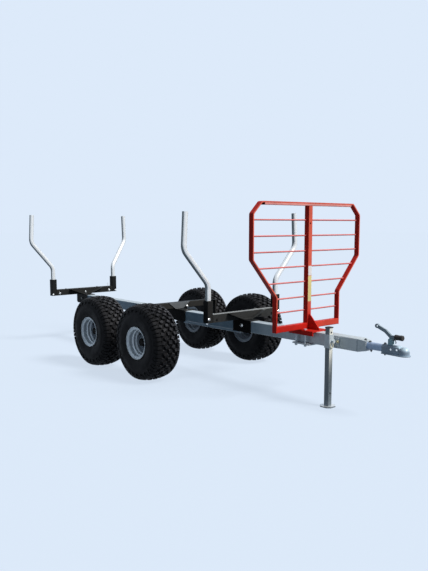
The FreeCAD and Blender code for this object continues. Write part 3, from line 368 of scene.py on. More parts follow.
def zinc_finish(name, first, second, where, roughness, metallic, crystals=90.0, dusty=0.05, grainy=0.25,
                edge=ZINC_EDGE, specular=0.25):
    """Mottled tones, painted light and shade by the mask, brighter crystals, dust and rubbed edges. The
    metallic pair follows the same mask.
    """
    tree, shader, place = new_finish(name, roughness, specular)
    grain = use_group(tree, zinc, Place=place, Crystal_size=crystals)
    mottle = ramp(tree, grain["Mottle"], 0.3, 0.7)
    mask = where(tree, place)
    colour = blend(tree, mask, blend(tree, mottle, *first), blend(tree, mottle, *second))
    lighter = [tuple(min(1.0, level * CRYSTAL_GAIN) for level in tones[1]) for tones in (first, second)]
    bright = blend(tree, mask, *lighter)
    colour = blend(tree, vary(tree, grain["Crystals"], 0.0, CRYSTAL_SHOW), colour, bright)
    settled = use_group(tree, dust, Place=place, Amount=dusty)
    colour = blend(tree, settled["Mask"], colour, DRY_DUST)
    rub = use_group(tree, rubbed, Place=place, Width=0.0018, Amount=0.6)
    tree.links.new(blend(tree, rub["Mask"], colour, edge), shader.inputs["Base Color"])
    if metallic[0] == metallic[1]:
        shader.inputs["Metallic"].default_value = metallic[0]
    else:
        tree.links.new(vary(tree, mask, *metallic), shader.inputs["Metallic"])
    uneven = vary(tree, grain["Mottle"], roughness - 0.08, roughness + 0.10)
    tree.links.new(uneven, shader.inputs["Roughness"])
    raise_surface(tree, shader, grain["Height"], grainy)


print("zinc recipe ready, crystals up to", CRYSTAL_SHOW, "brighter")

# %% Where the zinc has its second pair of tones: painted light and painted shade
def painted_light_on_rim_lip(tree, place):
    """Painted light on a rim: its outer lip, which stands furthest from the beam, gets the lighter tones."""
    return ramp(tree, math_node(tree, "ABSOLUTE", coordinate(tree, place, "Y")), 0.535, 0.600)


def painted_sheen_on_beam(tree, place):
    """Painted sheen: the beam is brighter toward its front and on its top, and has a painted reflection of
    the floor along the rounded corner under each side.
    """
    front = ramp(tree, coordinate(tree, place, "X"), 0.35, 1.30)
    top = times(tree, looks_toward(0.0, 0.0, 1.0, 0.5, 0.9)(tree, place), 0.8)
    corner = [looks_toward(0.0, side, -0.74, 0.86, 0.97)(tree, place) for side in (-0.67, 0.67)]
    above = larger(tree, front, top)
    return larger(tree, above, larger(tree, *corner))


def painted_sheen_on_leg(tree, place):
    """A painted highlight: the parking leg is bright on its front, which faces the lamp, and more so toward
    its top.
    """
    high = ramp(tree, coordinate(tree, place, "Z"), 0.12, 0.38)
    return times(tree, high, PAINTED_LIGHT_TOWARD_LAMP(tree, place))


def painted_sky_on_coupler(tree, place):
    """A painted reflection of the sky on the upper part of the coupling's dome."""
    dome = ramp(tree, coordinate(tree, place, "X"), 1.755, 1.800)
    return times(tree, dome, looks_toward(0.30, -0.10, 0.95, 0.35, 0.85)(tree, place))


def painted_shade_on_stake(tree, place):
    """Painted shade: a stake is dark where it looks down, back and right, and greyer where it looks ahead and
    left.
    """
    lower = looks_toward(-0.44, -0.58, -0.69, 0.02, 0.50)(tree, place)
    edge = times(tree, looks_toward(0.62, 0.78, -0.05, 0.66, 0.95)(tree, place), 0.26)
    return larger(tree, lower, edge)


print("masks for the rims, the beam, the leg, the coupler and the stakes")

# %% Hot-dipped parts: the beam, the stakes and the parking leg with its foot. The rims are painted silver
# Painted light and shade: the beam's painted sheen; the stakes near white as a painted highlight, with
# painted shade low and behind; painted light on the foot's top, up the leg's front and on the rims' outer
# lips.
zinc_finish("galvanised", ((0.17, 0.26, 0.35), (0.24, 0.34, 0.43)),
            ((0.50, 0.56, 0.60), (0.62, 0.68, 0.72)), painted_sheen_on_beam,
            roughness=0.46, metallic=(0.04, 0.15))
zinc_finish("galvanised_tube", ((0.97, 0.97, 0.96), (1.0, 1.0, 0.99)),
            ((0.14, 0.19, 0.22), (0.20, 0.25, 0.28)), painted_shade_on_stake,
            roughness=0.32, metallic=(0.48, 0.05), crystals=60.0, dusty=0.0, grainy=0.02,
            edge=(0.97, 0.97, 0.95), specular=0.5)
zinc_finish("foot_zinc", ((0.16, 0.20, 0.23), (0.22, 0.27, 0.30)),
            ((0.80, 0.83, 0.84), (0.90, 0.92, 0.92)), looks_toward(0.0, 0.0, 1.0, 0.50, 0.95),
            roughness=0.30, metallic=(0.05, 0.45), crystals=160.0)
zinc_finish("jack_zinc", ((0.19, 0.23, 0.26), (0.26, 0.30, 0.33)),
            ((0.78, 0.77, 0.70), (0.92, 0.88, 0.76)), painted_sheen_on_leg,
            roughness=0.34, metallic=(0.04, 0.14), crystals=120.0)
zinc_finish("rim_paint", ((0.34, 0.37, 0.42), (0.42, 0.46, 0.52)),
            ((0.66, 0.72, 0.78), (0.74, 0.80, 0.86)), painted_light_on_rim_lip,
            roughness=0.38, metallic=(0.02, 0.22), crystals=60.0, dusty=0.05)
print("large zinc parts", sorted(FINISHES))

# %% Plated and pressed parts: plates, bolts, the drawbar's neck, the coupling, pins and clips
# Each second pair here is painted light on what faces the lamp, except the coupling, which has a painted
# reflection of the sky on its dome, and blue_zinc, which is a little darker on what faces up.
zinc_finish("zinc_plate", ((0.42, 0.48, 0.54), (0.54, 0.60, 0.66)),
            ((0.62, 0.66, 0.70), (0.74, 0.78, 0.80)), PAINTED_LIGHT_TOWARD_LAMP,
            roughness=0.28, metallic=(0.30, 0.30), crystals=220.0)
zinc_finish("bright_plate", ((0.84, 0.85, 0.85), (0.90, 0.91, 0.90)),
            ((0.90, 0.91, 0.90), (0.95, 0.95, 0.93)), PAINTED_LIGHT_TOWARD_LAMP,
            roughness=0.24, metallic=(0.90, 0.75), crystals=220.0)
zinc_finish("dark_zinc", ((0.21, 0.28, 0.34), (0.29, 0.37, 0.43)),
            ((0.25, 0.32, 0.37), (0.34, 0.41, 0.46)), PAINTED_LIGHT_TOWARD_LAMP,
            roughness=0.36, metallic=(0.05, 0.05), crystals=160.0)
zinc_finish("bracket_zinc", ((0.05, 0.06, 0.07), (0.08, 0.09, 0.10)),
            ((0.10, 0.11, 0.12), (0.14, 0.15, 0.16)), PAINTED_LIGHT_TOWARD_LAMP,
            roughness=0.40, metallic=(0.03, 0.03), crystals=160.0)
zinc_finish("blue_zinc", ((0.36, 0.50, 0.74), (0.46, 0.60, 0.84)),
            ((0.36, 0.48, 0.70), (0.46, 0.58, 0.80)), looks_toward(0.30, 0.20, 0.93, 0.0, 0.7),
            roughness=0.26, metallic=(0.12, 0.16), crystals=160.0)
zinc_finish("coupler_zinc", ((0.22, 0.29, 0.37), (0.31, 0.39, 0.48)),
            ((0.46, 0.60, 0.72), (0.56, 0.71, 0.82)), painted_sky_on_coupler,
            roughness=0.30, metallic=(0.06, 0.10), crystals=160.0)
zinc_finish("bare_steel", ((0.26, 0.26, 0.27), (0.36, 0.36, 0.37)),
            ((0.40, 0.40, 0.41), (0.50, 0.50, 0.51)), PAINTED_LIGHT_TOWARD_LAMP,
            roughness=0.34, metallic=(0.3, 0.4), crystals=260.0, dusty=0.10)
zinc_finish("brass_pin", ((0.60, 0.50, 0.26), (0.70, 0.60, 0.34)),
            ((0.76, 0.68, 0.46), (0.84, 0.78, 0.58)), PAINTED_LIGHT_TOWARD_LAMP,
            roughness=0.30, metallic=(0.3, 0.3), crystals=260.0, dusty=0.04)
print("zinc finishes", len(FINISHES))

# %% The recipe for paint: a colour as seen in shade and a painted sheen colour
MUDDY_DUST = (0.30, 0.27, 0.23)


def paint_finish(name, colour, painted_lit, edge, roughness=0.36, dusty=0.02, where=PAINTED_LIGHT_TOWARD_LAMP, wear=0.4,
                 specular=0.12):
    """Two colours, the second a painted sheen where the mask says, with darker clouds in them, then dust and
    rubbed edges over a slightly pebbled coat.
    """
    tree, shader, place = new_finish(name, roughness, specular)
    mottle = noise(tree, place, 7, 5)
    mask = where(tree, place)
    darker = [tuple(level * 0.80 for level in tone) for tone in (colour, painted_lit)]
    clouds = ramp(tree, mottle, 0.3, 0.7)
    base = blend(tree, clouds, blend(tree, mask, *darker), blend(tree, mask, colour, painted_lit))
    settled = use_group(tree, dust, Place=place, Amount=dusty)
    base = blend(tree, settled["Mask"], base, MUDDY_DUST)
    rub = use_group(tree, rubbed, Place=place, Width=0.0022, Amount=wear)
    tree.links.new(blend(tree, rub["Mask"], base, edge), shader.inputs["Base Color"])
    tree.links.new(vary(tree, mottle, roughness - 0.1, roughness + 0.1), shader.inputs["Roughness"])
    raise_surface(tree, shader, noise(tree, place, 420, 2), 0.10, 0.0006)


print("paint recipe ready")

# %% Where the headboard and the bunks have their painted sheen
def painted_sheen_on_board(tree, place):
    """Painted sheen on the headboard: on what faces the hitch, from the middle to the left and higher up."""
    front = looks_toward(0.96, 0.20, 0.15, 0.55, 0.92)(tree, place)
    left = times(tree, ramp(tree, coordinate(tree, place, "Y"), -0.04, 0.16), 0.45)
    high = ramp(tree, coordinate(tree, place, "Z"), 0.50, 0.66)
    return times(tree, front, larger(tree, left, high))


def painted_sheen_on_bunk(tree, place):
    """A painted reflection of the sky on the front bunk's level top, and a little painted light on what faces
    the hitch on both bunks.
    """
    in_front = ramp(tree, coordinate(tree, place, "X"), -0.5, 0.3)
    level_top = times(tree, ramp(tree, coordinate(tree, place, "Z"), 0.502, 0.505), in_front)
    flange = looks_toward(0.0, 0.0, 1.0, 0.80, 0.98)(tree, place)
    flange = times(tree, flange, vary(tree, level_top, 0.10, 1.0))
    faint = times(tree, PAINTED_LIGHT_TOWARD_LAMP(tree, place), vary(tree, in_front, 0.06, 0.13))
    return larger(tree, flange, faint)


# Painted light: the red rods are paler where they face up.
PAINTED_LIGHT_FROM_ABOVE = looks_toward(0.35, 0.10, 0.93, -0.30, 0.45)
print("sheens for the headboard, its rods and the bunks")

# %% Painted parts: the red headboard, the black steel, the hubs, the coupling's lever, plastic and plates
# The second colour of each paint is painted light on the faces that its mask picks.
paint_finish("red_paint", (0.64, 0.022, 0.014), (0.88, 0.150, 0.095), edge=(0.80, 0.16, 0.10),
             where=painted_sheen_on_board, specular=0.08)
# The top rail is a paler red all over, as a painted highlight.
paint_finish("red_painted_highlight", (0.80, 0.20, 0.18), (0.93, 0.36, 0.33), edge=(0.93, 0.40, 0.36))
paint_finish("red_rods", (0.62, 0.06, 0.06), (0.86, 0.26, 0.25), edge=(0.90, 0.40, 0.38), where=PAINTED_LIGHT_FROM_ABOVE)
# The bunks get a painted highlight on their level tops; shaded_paint, on the rear pockets, has less painted
# light as painted shade.
NEAR_BLACK, SHADED_BLACK = (0.0075, 0.0075, 0.0075), (0.0075, 0.0075, 0.0080)
for name, colour, painted_lit, where in (("black_paint", NEAR_BLACK, (0.036, 0.035, 0.034), PAINTED_LIGHT_TOWARD_LAMP),
                                 ("bunk_paint", NEAR_BLACK, (0.345, 0.355, 0.350), painted_sheen_on_bunk),
                                 ("shaded_paint", SHADED_BLACK, (0.018, 0.019, 0.020), PAINTED_LIGHT_TOWARD_LAMP)):
    paint_finish(name, colour, painted_lit, edge=(0.16, 0.16, 0.15), roughness=0.42, where=where, wear=0.3,
                 specular=0.04)
paint_finish("hub_paint", (0.018, 0.019, 0.021), (0.034, 0.035, 0.038), edge=(0.20, 0.20, 0.20),
             roughness=0.45, dusty=0.08)
paint_finish("yoke_paint", (0.46, 0.72, 0.82), (0.80, 0.92, 0.96), edge=(0.60, 0.72, 0.76),
             roughness=0.34, dusty=0.03)
paint_finish("black_plastic", (0.060, 0.056, 0.056), (0.055, 0.050, 0.050), edge=(0.06, 0.06, 0.06),
             roughness=0.48, dusty=0.05)
paint_finish("white_plate", (0.92, 0.90, 0.89), (0.97, 0.92, 0.91), edge=(0.95, 0.93, 0.92),
             roughness=0.38, dusty=0.01)
paint_finish("yellow_plate", (0.86, 0.72, 0.26), (0.92, 0.78, 0.34), edge=(0.90, 0.84, 0.50),
             roughness=0.38, dusty=0.01)
print("paint finishes", sorted(FINISHES))

# %% Tyre rubber: near black in the grooves, greyer on top of the blocks and where mud has dried on it, with a painted highlight
tree, shader, place = new_finish("tyre_rubber", 0.62, 0.07)
fine = noise(tree, place, 380, 3)
patches = ramp(tree, noise(tree, place, 16, 6, 0.65), 0.35, 0.75)
colour = blend(tree, patches, (0.0060, 0.0060, 0.0072), (0.0095, 0.0093, 0.0108))
standing = tree.nodes.new("ShaderNodeAttribute")
standing.attribute_name = "proud"
scuffed = times(tree, ramp(tree, standing.outputs["Fac"], 0.35, 1.0),
                vary(tree, ramp(tree, noise(tree, place, 38, 3), 0.35, 0.65), 0.12, 1.0))
colour = blend(tree, scuffed, colour, (0.014, 0.014, 0.016))
# A painted highlight on the scuffed block tops that face the lamp.
painted_lit = times(tree, scuffed, looks_toward(0.62, 0.62, 0.48, 0.45, 0.95)(tree, place))
colour = blend(tree, painted_lit, colour, (0.082, 0.083, 0.092))
settled = use_group(tree, dust, Place=place, Amount=0.10, Cloud_size=24.0)
colour = blend(tree, settled["Mask"], colour, (0.12, 0.12, 0.125))
rub = use_group(tree, rubbed, Place=place, Width=0.003, Break_up=45.0, Amount=0.25)
tree.links.new(blend(tree, rub["Mask"], colour, (0.11, 0.11, 0.105)), shader.inputs["Base Color"])
tree.links.new(vary(tree, patches, 0.52, 0.72), shader.inputs["Roughness"])
raise_surface(tree, shader, fine, 0.25, 0.0008)
print("tyre rubber ready")

# %% Dress every CAD node in its own finish, or in the one that its slot names
FINISH_OF = {"front_stakes": "galvanised_tube", "rear_stakes": "galvanised_tube",
             "front_bunk": "bunk_paint", "rear_bunk": "bunk_paint", "rear_pockets": "shaded_paint",
             "cross_tube": "black_paint", "hangers": "black_paint", "axle_bracket": "bracket_zinc",
             "jack_leg": "jack_zinc", "jack_foot": "foot_zinc", "hitch_neck": "blue_zinc",
             "coupler": "coupler_zinc", "hand_lever": "dark_zinc", "head_rods": "red_rods",
             "head_top_rail": "red_painted_highlight"}
for subpart in frame["record"]["subparts"]:
    node = frame["nodes"][subpart["node"]]
    finish = FINISH_OF.get(subpart["node"], subpart["material_slot"])
    node.data.materials.clear()
    node.data.materials.append(FINISHES[finish])
print("dressed", len(frame["nodes"]), "nodes")

# %% [markdown]
# ## Modelling by hand
# A new piece starts as a primitive, is shaped in edit mode and is finished with its place in its own mesh.
# The helpers below do what the mouse does: pick faces by where they are, close the piece, copy it. Everything
# is deselected first, because an operator acts on all that is selected.

# %% Helpers for modelling: select, open, pick and extrude
def only(*pieces):
    """Leave object mode tidy, with only these pieces selected and the first one active."""
    if bpy.context.object and bpy.context.object.mode != "OBJECT":
        bpy.ops.object.mode_set(mode="OBJECT")
    bpy.ops.object.select_all(action="DESELECT")
    for piece in pieces:
        piece.select_set(True)
    if pieces:
        bpy.context.view_layer.objects.active = pieces[0]


def shape(name, kind="FACE"):
    """Name the primitive that was just added and open it in edit mode."""
    piece = bpy.context.object
    piece.name = piece.data.name = name
    bpy.ops.object.mode_set(mode="EDIT")
    bpy.ops.mesh.select_mode(type=kind)
    return piece


def pick(test, kind="faces"):
    """Select the faces, edges or verts of the open mesh that pass a test, and nothing else."""
    bpy.ops.mesh.select_all(action="DESELECT")
    bpy.ops.mesh.select_mode(type={"faces": "FACE", "edges": "EDGE", "verts": "VERT"}[kind])
    mesh = bmesh.from_edit_mesh(bpy.context.object.data)
    for element in getattr(mesh, kind):
        if test(element):
            element.select_set(True)
    bmesh.update_edit_mesh(bpy.context.object.data)


def pick_all():
    """Select all of the open mesh."""
    bpy.ops.mesh.select_all(action="SELECT")


def extrude(move):
    """Extrude what is picked, and move it."""
    bpy.ops.mesh.extrude_region_move(TRANSFORM_OT_translate={"value": move})


print("helpers for picking ready")

# %% Helpers for modelling: turn outward, settle, copy and join
def normals_out():
    """Merge doubles and turn every face outward."""
    pick_all()
    bpy.ops.mesh.remove_doubles(threshold=0.00001)
    bpy.ops.mesh.normals_make_consistent(inside=False)


def settle(piece, smooth=35):
    """Put a piece's place into its mesh and shade it smooth except at its sharp edges."""
    only(piece)
    bpy.ops.object.transform_apply(location=True, rotation=True, scale=True)
    bpy.ops.object.shade_smooth_by_angle(angle=math.radians(smooth))
    return piece


def copy_of(model):
    """A copy of a model, with its own mesh."""
    only(model)
    bpy.ops.object.duplicate()
    return bpy.context.object


def joined(*pieces):
    """Join pieces into the first one."""
    only(*pieces)
    bpy.ops.object.join()
    return bpy.context.object


print("helpers for settling ready")

# %% [markdown]
# ## Tyres
# The tyres are wide, soft knobbly ones with rows of rubber blocks that run round onto the shoulders. The
# carcass is a closed ring, spun from its section. The blocks could be pressed out by a texture, but then the
# outline would stay smooth, so they are real blocks. Each block of one pitch of the pattern is shaped in its
# place, and the pitch is spun round as copies. Odd and even rows are staggered, and the blocks stand at a
# slant, so that the grooves between them wind round the tyre.

# %% The tyre's section, from its outer bead round the tread to its inner bead
RADIUS = 0.280
WALL = [(0.0908, 0.1020), (0.0908, 0.1190), (0.1020, 0.1220), (0.1055, 0.1300), (0.1040, 0.1320),
        (0.1070, 0.1480), (0.1092, 0.1660), (0.1107, 0.1835), (0.1090, 0.2010), (0.1072, 0.2040),
        (0.1076, 0.2170), (0.1036, 0.2310), (0.0950, 0.2425), (0.0810, 0.2515), (0.0600, 0.2590),
        (0.0300, 0.2640)]
INNER = [(0.0, 0.2560), (0.0500, 0.2520), (0.0800, 0.2400), (0.0930, 0.2180), (0.0970, 0.1835),
         (0.0900, 0.1450), (0.0760, 0.1180), (0.0640, 0.1020)]
section = WALL + [(0.0, 0.2650)] + [(-y, r) for y, r in reversed(WALL)]
section += [(-y, r) for y, r in reversed(INNER[1:])] + INNER


def draw(name, points):
    """Draw a line through points of the YZ plane, one extruded vertex after another, back to the first."""
    only()
    bpy.ops.mesh.primitive_plane_add(size=0.01, location=(0, *points[0]))
    piece = shape(name, "VERT")
    pick_all()
    bpy.ops.mesh.merge(type="CENTER")
    for (y0, r0), (y1, r1) in zip(points, points[1:] + points[:1]):
        extrude((0, y1 - y0, r1 - r0))
    pick_all()
    bpy.ops.mesh.remove_doubles(threshold=0.0001)
    pick_all()
    return piece


carcass = draw("tyre_carcass", section)
bpy.ops.mesh.spin(steps=120, angle=2 * math.pi, center=(0, 0, 0), axis=(0, 1, 0))
normals_out()
settle(carcass, 40)
print("carcass", len(carcass.data.polygons), "faces, section of", len(section), "points")

# %% A block of the crown
CROWN_RADIUS = 0.307
BLOCK_DEEP, BLOCK_SUNK = 0.019, 0.0005


def start_block(name, place, size, turn=(0, 0, 0)):
    """Add a cube, stretch it to a size, turn it and open it in edit mode."""
    only()
    bpy.ops.mesh.primitive_cube_add(size=1, location=place)
    block = bpy.context.object
    block.scale = size
    block.rotation_euler = turn
    bpy.ops.object.transform_apply(location=True, rotation=True, scale=True)
    return shape(name)


def shoulder_drop(y):
    """How far the tread's outer surface lies below the full radius at a distance from the middle."""
    return y * y / (2 * CROWN_RADIUS)


def crown_block(name, y, long, wide, slant):
    """A block with tapered sides, slanted on the tread and leaned to follow the crown."""
    middle = RADIUS - shoulder_drop(y) - BLOCK_DEEP / 2 - BLOCK_SUNK
    lean = -math.asin(y / CROWN_RADIUS)
    block = start_block(name, (0, y, middle), (long, wide, BLOCK_DEEP), (lean, 0, slant))
    pick(lambda face: face.normal.z > 0.7)
    bpy.ops.transform.resize(value=(0.78, 0.82, 1))
    pick(lambda edge: all(face.normal.z > -0.7 for face in edge.link_faces), "edges")
    bpy.ops.mesh.bevel(offset=0.0020, segments=1, affect="EDGES")
    return block


print("crown blocks", BLOCK_DEEP, "m deep")

# %% A lug that folds down over the shoulder
LUG_TOP = [(0.0700, 0.2715), (0.0860, 0.2675), (0.0965, 0.2625), (0.1030, 0.2530), (0.1075, 0.2400),
           (0.1102, 0.2260)]
LUG_FOOT = [(0.1040, 0.2200), (0.0960, 0.2330), (0.0860, 0.2430), (0.0640, 0.2540)]


def shoulder_lug(name, long, short, slant):
    """The lug's outline, thickened along the tread, tapered outward and narrowed at its foot."""
    top = LUG_TOP[:-1] if short else LUG_TOP
    outer = [Vector((0, *point)) for point in top]

    def on_top(vert):
        """Whether a corner lies on the outer part of the outline."""
        return any((Vector((0, vert.co.y, vert.co.z)) - point).length < 0.0005 for point in outer)

    lug = draw(name, top + LUG_FOOT[1 if short else 0:])
    bpy.ops.mesh.edge_face_add()
    extrude((long, 0, 0))
    pick_all()
    bpy.ops.transform.translate(value=(-long / 2, 0, 0))
    pick(on_top, "verts")
    bpy.ops.transform.resize(value=(0.76, 1, 1), center_override=(0, 0, 0))
    pick(lambda vert: vert.co.z < 0.2450 and vert.co.y > 0.098, "verts")
    bpy.ops.transform.resize(value=(0.72, 1, 1), center_override=(0, 0, 0))
    bpy.ops.transform.translate(value=(slant, 0, 0))
    normals_out()
    pick(lambda edge: len(edge.link_faces) == 2 and edge.calc_face_angle(0) > 0.9
         and all(on_top(vert) for vert in edge.verts), "edges")
    bpy.ops.mesh.bevel(offset=0.0018, segments=1, affect="EDGES")
    only(lug)
    bpy.ops.object.transform_apply(location=True, rotation=True, scale=True)
    return lug


print("lugs with", len(LUG_TOP + LUG_FOOT), "points or fewer")

# %% One pitch of the pattern, spun round into the whole tread
ROWS = 28
pitch = 2 * math.pi / ROWS
pattern = []
for y, slant in ((-0.0270, 0.45), (0.0270, -0.45)):
    pattern.append((crown_block("crown_even", y, 0.030, 0.034, slant), 0))
for y, slant in ((-0.0530, -0.35), (0.0, 0.0), (0.0530, 0.35)):
    pattern.append((crown_block("crown_odd", y, 0.030, 0.030, slant), pitch / 2))
for sign in (-1, 1):
    for phase, long, short in ((0.0, 0.0235, False), (pitch / 2, 0.0205, True)):
        lug = shoulder_lug("shoulder_lug", long, short, 0.004 * sign)
        only(lug)
        if sign < 0:
            lug.scale = (1, -1, 1)
        pattern.append((lug, phase))
for block, phase in pattern:
    only(block)
    block.rotation_euler = (0, phase, 0)
    bpy.ops.object.transform_apply(location=False, rotation=True, scale=True)
joined(*[block for block, phase in pattern])
blocks = shape("tyre_blocks")
pick_all()
bpy.ops.mesh.spin(steps=ROWS, dupli=True, angle=2 * math.pi, center=(0, 0, 0), axis=(0, 1, 0))
normals_out()
settle(blocks, 30)
print("blocks", len(blocks.data.polygons), "faces")

# %% Helpers that dress a finished piece, put models away and find the wheels
CORNERS = ("front_right", "rear_right", "front_left", "rear_left")


def dress(piece, name, finish, body="chassis"):
    """Name a finished piece, give it its finish and let it ride on its body."""
    piece.name = piece.data.name = name
    piece.data.materials.clear()
    piece.data.materials.append(FINISHES[finish])
    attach(piece, body)
    return piece


def put_away(*models):
    """Remove the models that were only there to be copied."""
    for model in models:
        bpy.data.objects.remove(model)


def middle_and_side(box):
    """The middle of a wheel's part, and its side of the trailer: -1 on the right and 1 on the left."""
    low, high = box
    return [(a + b) / 2 for a, b in zip(low, high)], -1 if low[1] < 0 else 1


print("wheels at", CORNERS)

# %% Join them, mark how far each point stands out, and set a tyre on each rim
GROOVE = 0.010
tyre_model = settle(joined(carcass, blocks), 35)
proud = tyre_model.data.attributes.new("proud", "FLOAT", "POINT")
for vert, mark in zip(tyre_model.data.vertices, proud.data):
    depth = RADIUS - shoulder_drop(vert.co.y) - math.hypot(vert.co.x, vert.co.z)
    mark.value = max(0.0, min(1.0, 1 - depth / GROOVE))
for corner in CORNERS:
    tyre = copy_of(tyre_model)
    tyre.location = middle_and_side(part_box("tyre_" + corner))[0]
    settle(tyre)
    dress(tyre, "knobbly_tyre_" + corner, "tyre_rubber", "wheel_" + corner)
    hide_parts("tyre_" + corner)
    print(tyre.name, len(tyre.data.polygons), "faces")
put_away(tyre_model)

# %% [markdown]
# ## Bolts
# A bolt that shows is a washer, a hexagon head with its edge turned off and, on the other side, a nut with
# the end of the thread. A bolt is shaped for each size, and a nut where one shows. They are copied to their
# places on the faces of the parts that they hold, found from a part's box or by a ray that meets its surface.
# A bump map could fake them, but they stand out against the pale floor along the edges of the parts.

# %% A bolt head and a nut, each on its washer
def inset_and_move(thickness, move):
    """Inset the picked faces and push what is inside in or out."""
    bpy.ops.mesh.inset(thickness=thickness)
    bpy.ops.transform.translate(value=move)


def make_fastener(name, across, nut=False):
    """Hexagon on a round washer, +Z outward, seated at z = 0."""
    thick, tall = across * 0.13, across * (0.72 if nut else 0.58)
    washer, corner, thread = across * 0.88, across / 2 / math.cos(math.pi / 6), across * 0.31
    top = thick + tall
    only()
    bpy.ops.mesh.primitive_cylinder_add(vertices=20, radius=washer, depth=thick, location=(0, 0, thick / 2))
    shape(name)
    pick(lambda face: face.normal.z > 0.9)
    inset_and_move(across * 0.04, (0, 0, thick * 0.25))
    bpy.ops.mesh.primitive_cylinder_add(vertices=6, radius=corner, depth=tall,
                                        location=(0, 0, thick + tall / 2))
    pick(lambda face: face.normal.z > 0.9 and face.calc_center_median().z > top - 0.0002)
    inset_and_move(across * 0.07, (0, 0, across * 0.035))
    if nut:
        bpy.ops.mesh.primitive_cylinder_add(vertices=14, radius=thread, depth=across * 0.5,
                                            location=(0, 0, top + across * 0.12))
        pick(lambda face: face.normal.z > 0.9 and face.calc_center_median().z > top + across * 0.3)
        inset_and_move(across * 0.05, (0, 0, across * 0.04))
    return settle(bpy.context.object, 25)


big_bolt, big_nut = make_fastener("big_bolt", 0.015), make_fastener("big_nut", 0.015, nut=True)
small_bolt, small_nut = make_fastener("small_bolt", 0.011), make_fastener("small_nut", 0.011, nut=True)
tiny_bolt = make_fastener("tiny_bolt", 0.0065)
fasteners = (big_bolt, big_nut, small_bolt, small_nut, tiny_bolt)
print("fasteners", [len(model.data.polygons) for model in fasteners], "faces")

# %% Helpers that copy a fastener to its places and find the surface under it
def copies(model, spots):
    """Copy a model to each (place, direction), with its own +Z along the direction, and join the copies."""
    made = []
    for place, direction in spots:
        copy = copy_of(model)
        copy.rotation_euler = Vector(direction).to_track_quat("Z", "Y").to_euler()
        copy.location = place
        made.append(copy)
    return settle(joined(*made))


def seat(node, start, toward):
    """Where a line from a point meets a node of the CAD model, so that a bolt sits on its surface."""
    found, place = frame["nodes"][node].ray_cast(Vector(start), Vector(toward))[:2]
    assert found, "nothing to sit on: " + node
    return tuple(place)


print("beam's top at", round(seat("main_beam", (0.5, 0, 1.0), (0, 0, -1))[2], 3), "m")

# %% The bolt through the cheeks of each bunk's saddle: bright in front, and dark behind as painted shade
for end, finish in (("front", "bright_plate"), ("rear", "bracket_zinc")):
    low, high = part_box(end + "_saddle")
    middle, level = (low[0] + high[0]) / 2, (low[2] + high[2]) / 2 + 0.004
    dress(copies(big_bolt, [((middle, low[1], level), (0, -1, 0))]), end + "_saddle_bolt", finish)
    dress(copies(big_nut, [((middle, high[1], level), (0, 1, 0))]), end + "_saddle_nut", finish)
    print(end, "saddle bolt at", round(middle, 3))

# %% Bolts that pinch the stakes in their pockets, and those along the bunk bars
for end, across, level, inner, finish in (("front", 0.345, 0.478, (-0.272, 0.272), "black_paint"),
                                          ("rear", 0.347, 0.464, (-0.277, 0.0, 0.271), "bright_plate")):
    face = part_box(end + "_pockets")[1][0]
    spots = [((face, side * across, level), (1, 0, 0)) for side in (-1, 1)]
    dress(copies(small_bolt, spots), end + "_pocket_bolts", "bright_plate")
    spots = [(seat(end + "_bunk", (face + 0.1, y, 0.470), (-1, 0, 0)), (1, 0, 0)) for y in inner]
    dress(copies(small_bolt, spots), end + "_bunk_bolts", finish)
    print(end, "bunk bolts at", [tuple(round(v, 3) for v in spot[0]) for spot in spots])
low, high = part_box("front_pockets")
spots = [(((low[0] + high[0]) / 2, side * 0.340, low[2]), (0, 0, -1)) for side in (-1, 1)]
dress(copies(small_nut, spots), "front_pocket_nuts", "bright_plate")

# %% Bolts of the axle's bracket, the jack's plate, the neck and the coupler
ABOVE, BELOW, BESIDE = 0.6, 0.2, 0.3
spots = [(seat("cross_tube", (0.0, 0.085, 0.463), (-1, 0, 0)), (1, 0, 0))]
dress(copies(small_bolt, spots), "axle_bracket_bolt", "bright_plate")
spots = [(seat("jack_bracket", (x, -BESIDE, 0.408), (0, 1, 0)), (0, -1, 0)) for x in (1.333, 1.393)]
dress(copies(small_bolt, spots), "jack_plate_bolts", "brass_pin")
print("jack plate bolts at", [tuple(round(v, 3) for v in spot[0]) for spot in spots])
spots = [(seat(node, (x, 0, ABOVE), (0, 0, -1)), (0, 0, 1))
         for node, x in (("hitch_nose", 1.566), ("hitch_neck", 1.600), ("coupler", 1.704))]
dress(copies(small_bolt, spots), "neck_bolts", "bracket_zinc")
spots = [(seat(node, (x, 0, BELOW), (0, 0, 1)), (0, 0, -1))
         for node, x in (("hitch_neck", 1.608), ("coupler", 1.704))]
dress(copies(small_nut, spots), "neck_nuts", "bracket_zinc")
spots = [(seat("coupler", (x, side * BESIDE, z), (0, -side, 0)), (0, side, 0))
         for x, z in ((1.759, 0.410), (1.798, 0.412)) for side in (-1, 1)]
dress(copies(tiny_bolt, spots), "coupler_bolts", "bright_plate")
print("coupler bolts at", [tuple(round(v, 3) for v in spot[0]) for spot in spots])
put_away(*fasteners)

# %% [markdown]
# ## Pins, hooks and stems
# The small bent wires are a circle swept along an arc in edit mode: the ring of the parking leg's lock pin,
# the latch in front of the coupling's yoke and the spring clip that waits on the rear bunk. Each wheel has a
# valve stem on its rim and a cap over the end of its hub. Both start as a cylinder and turn with the wheel.
# A curve with a round section would give the wires too, but a sweep makes a plain mesh from the start.

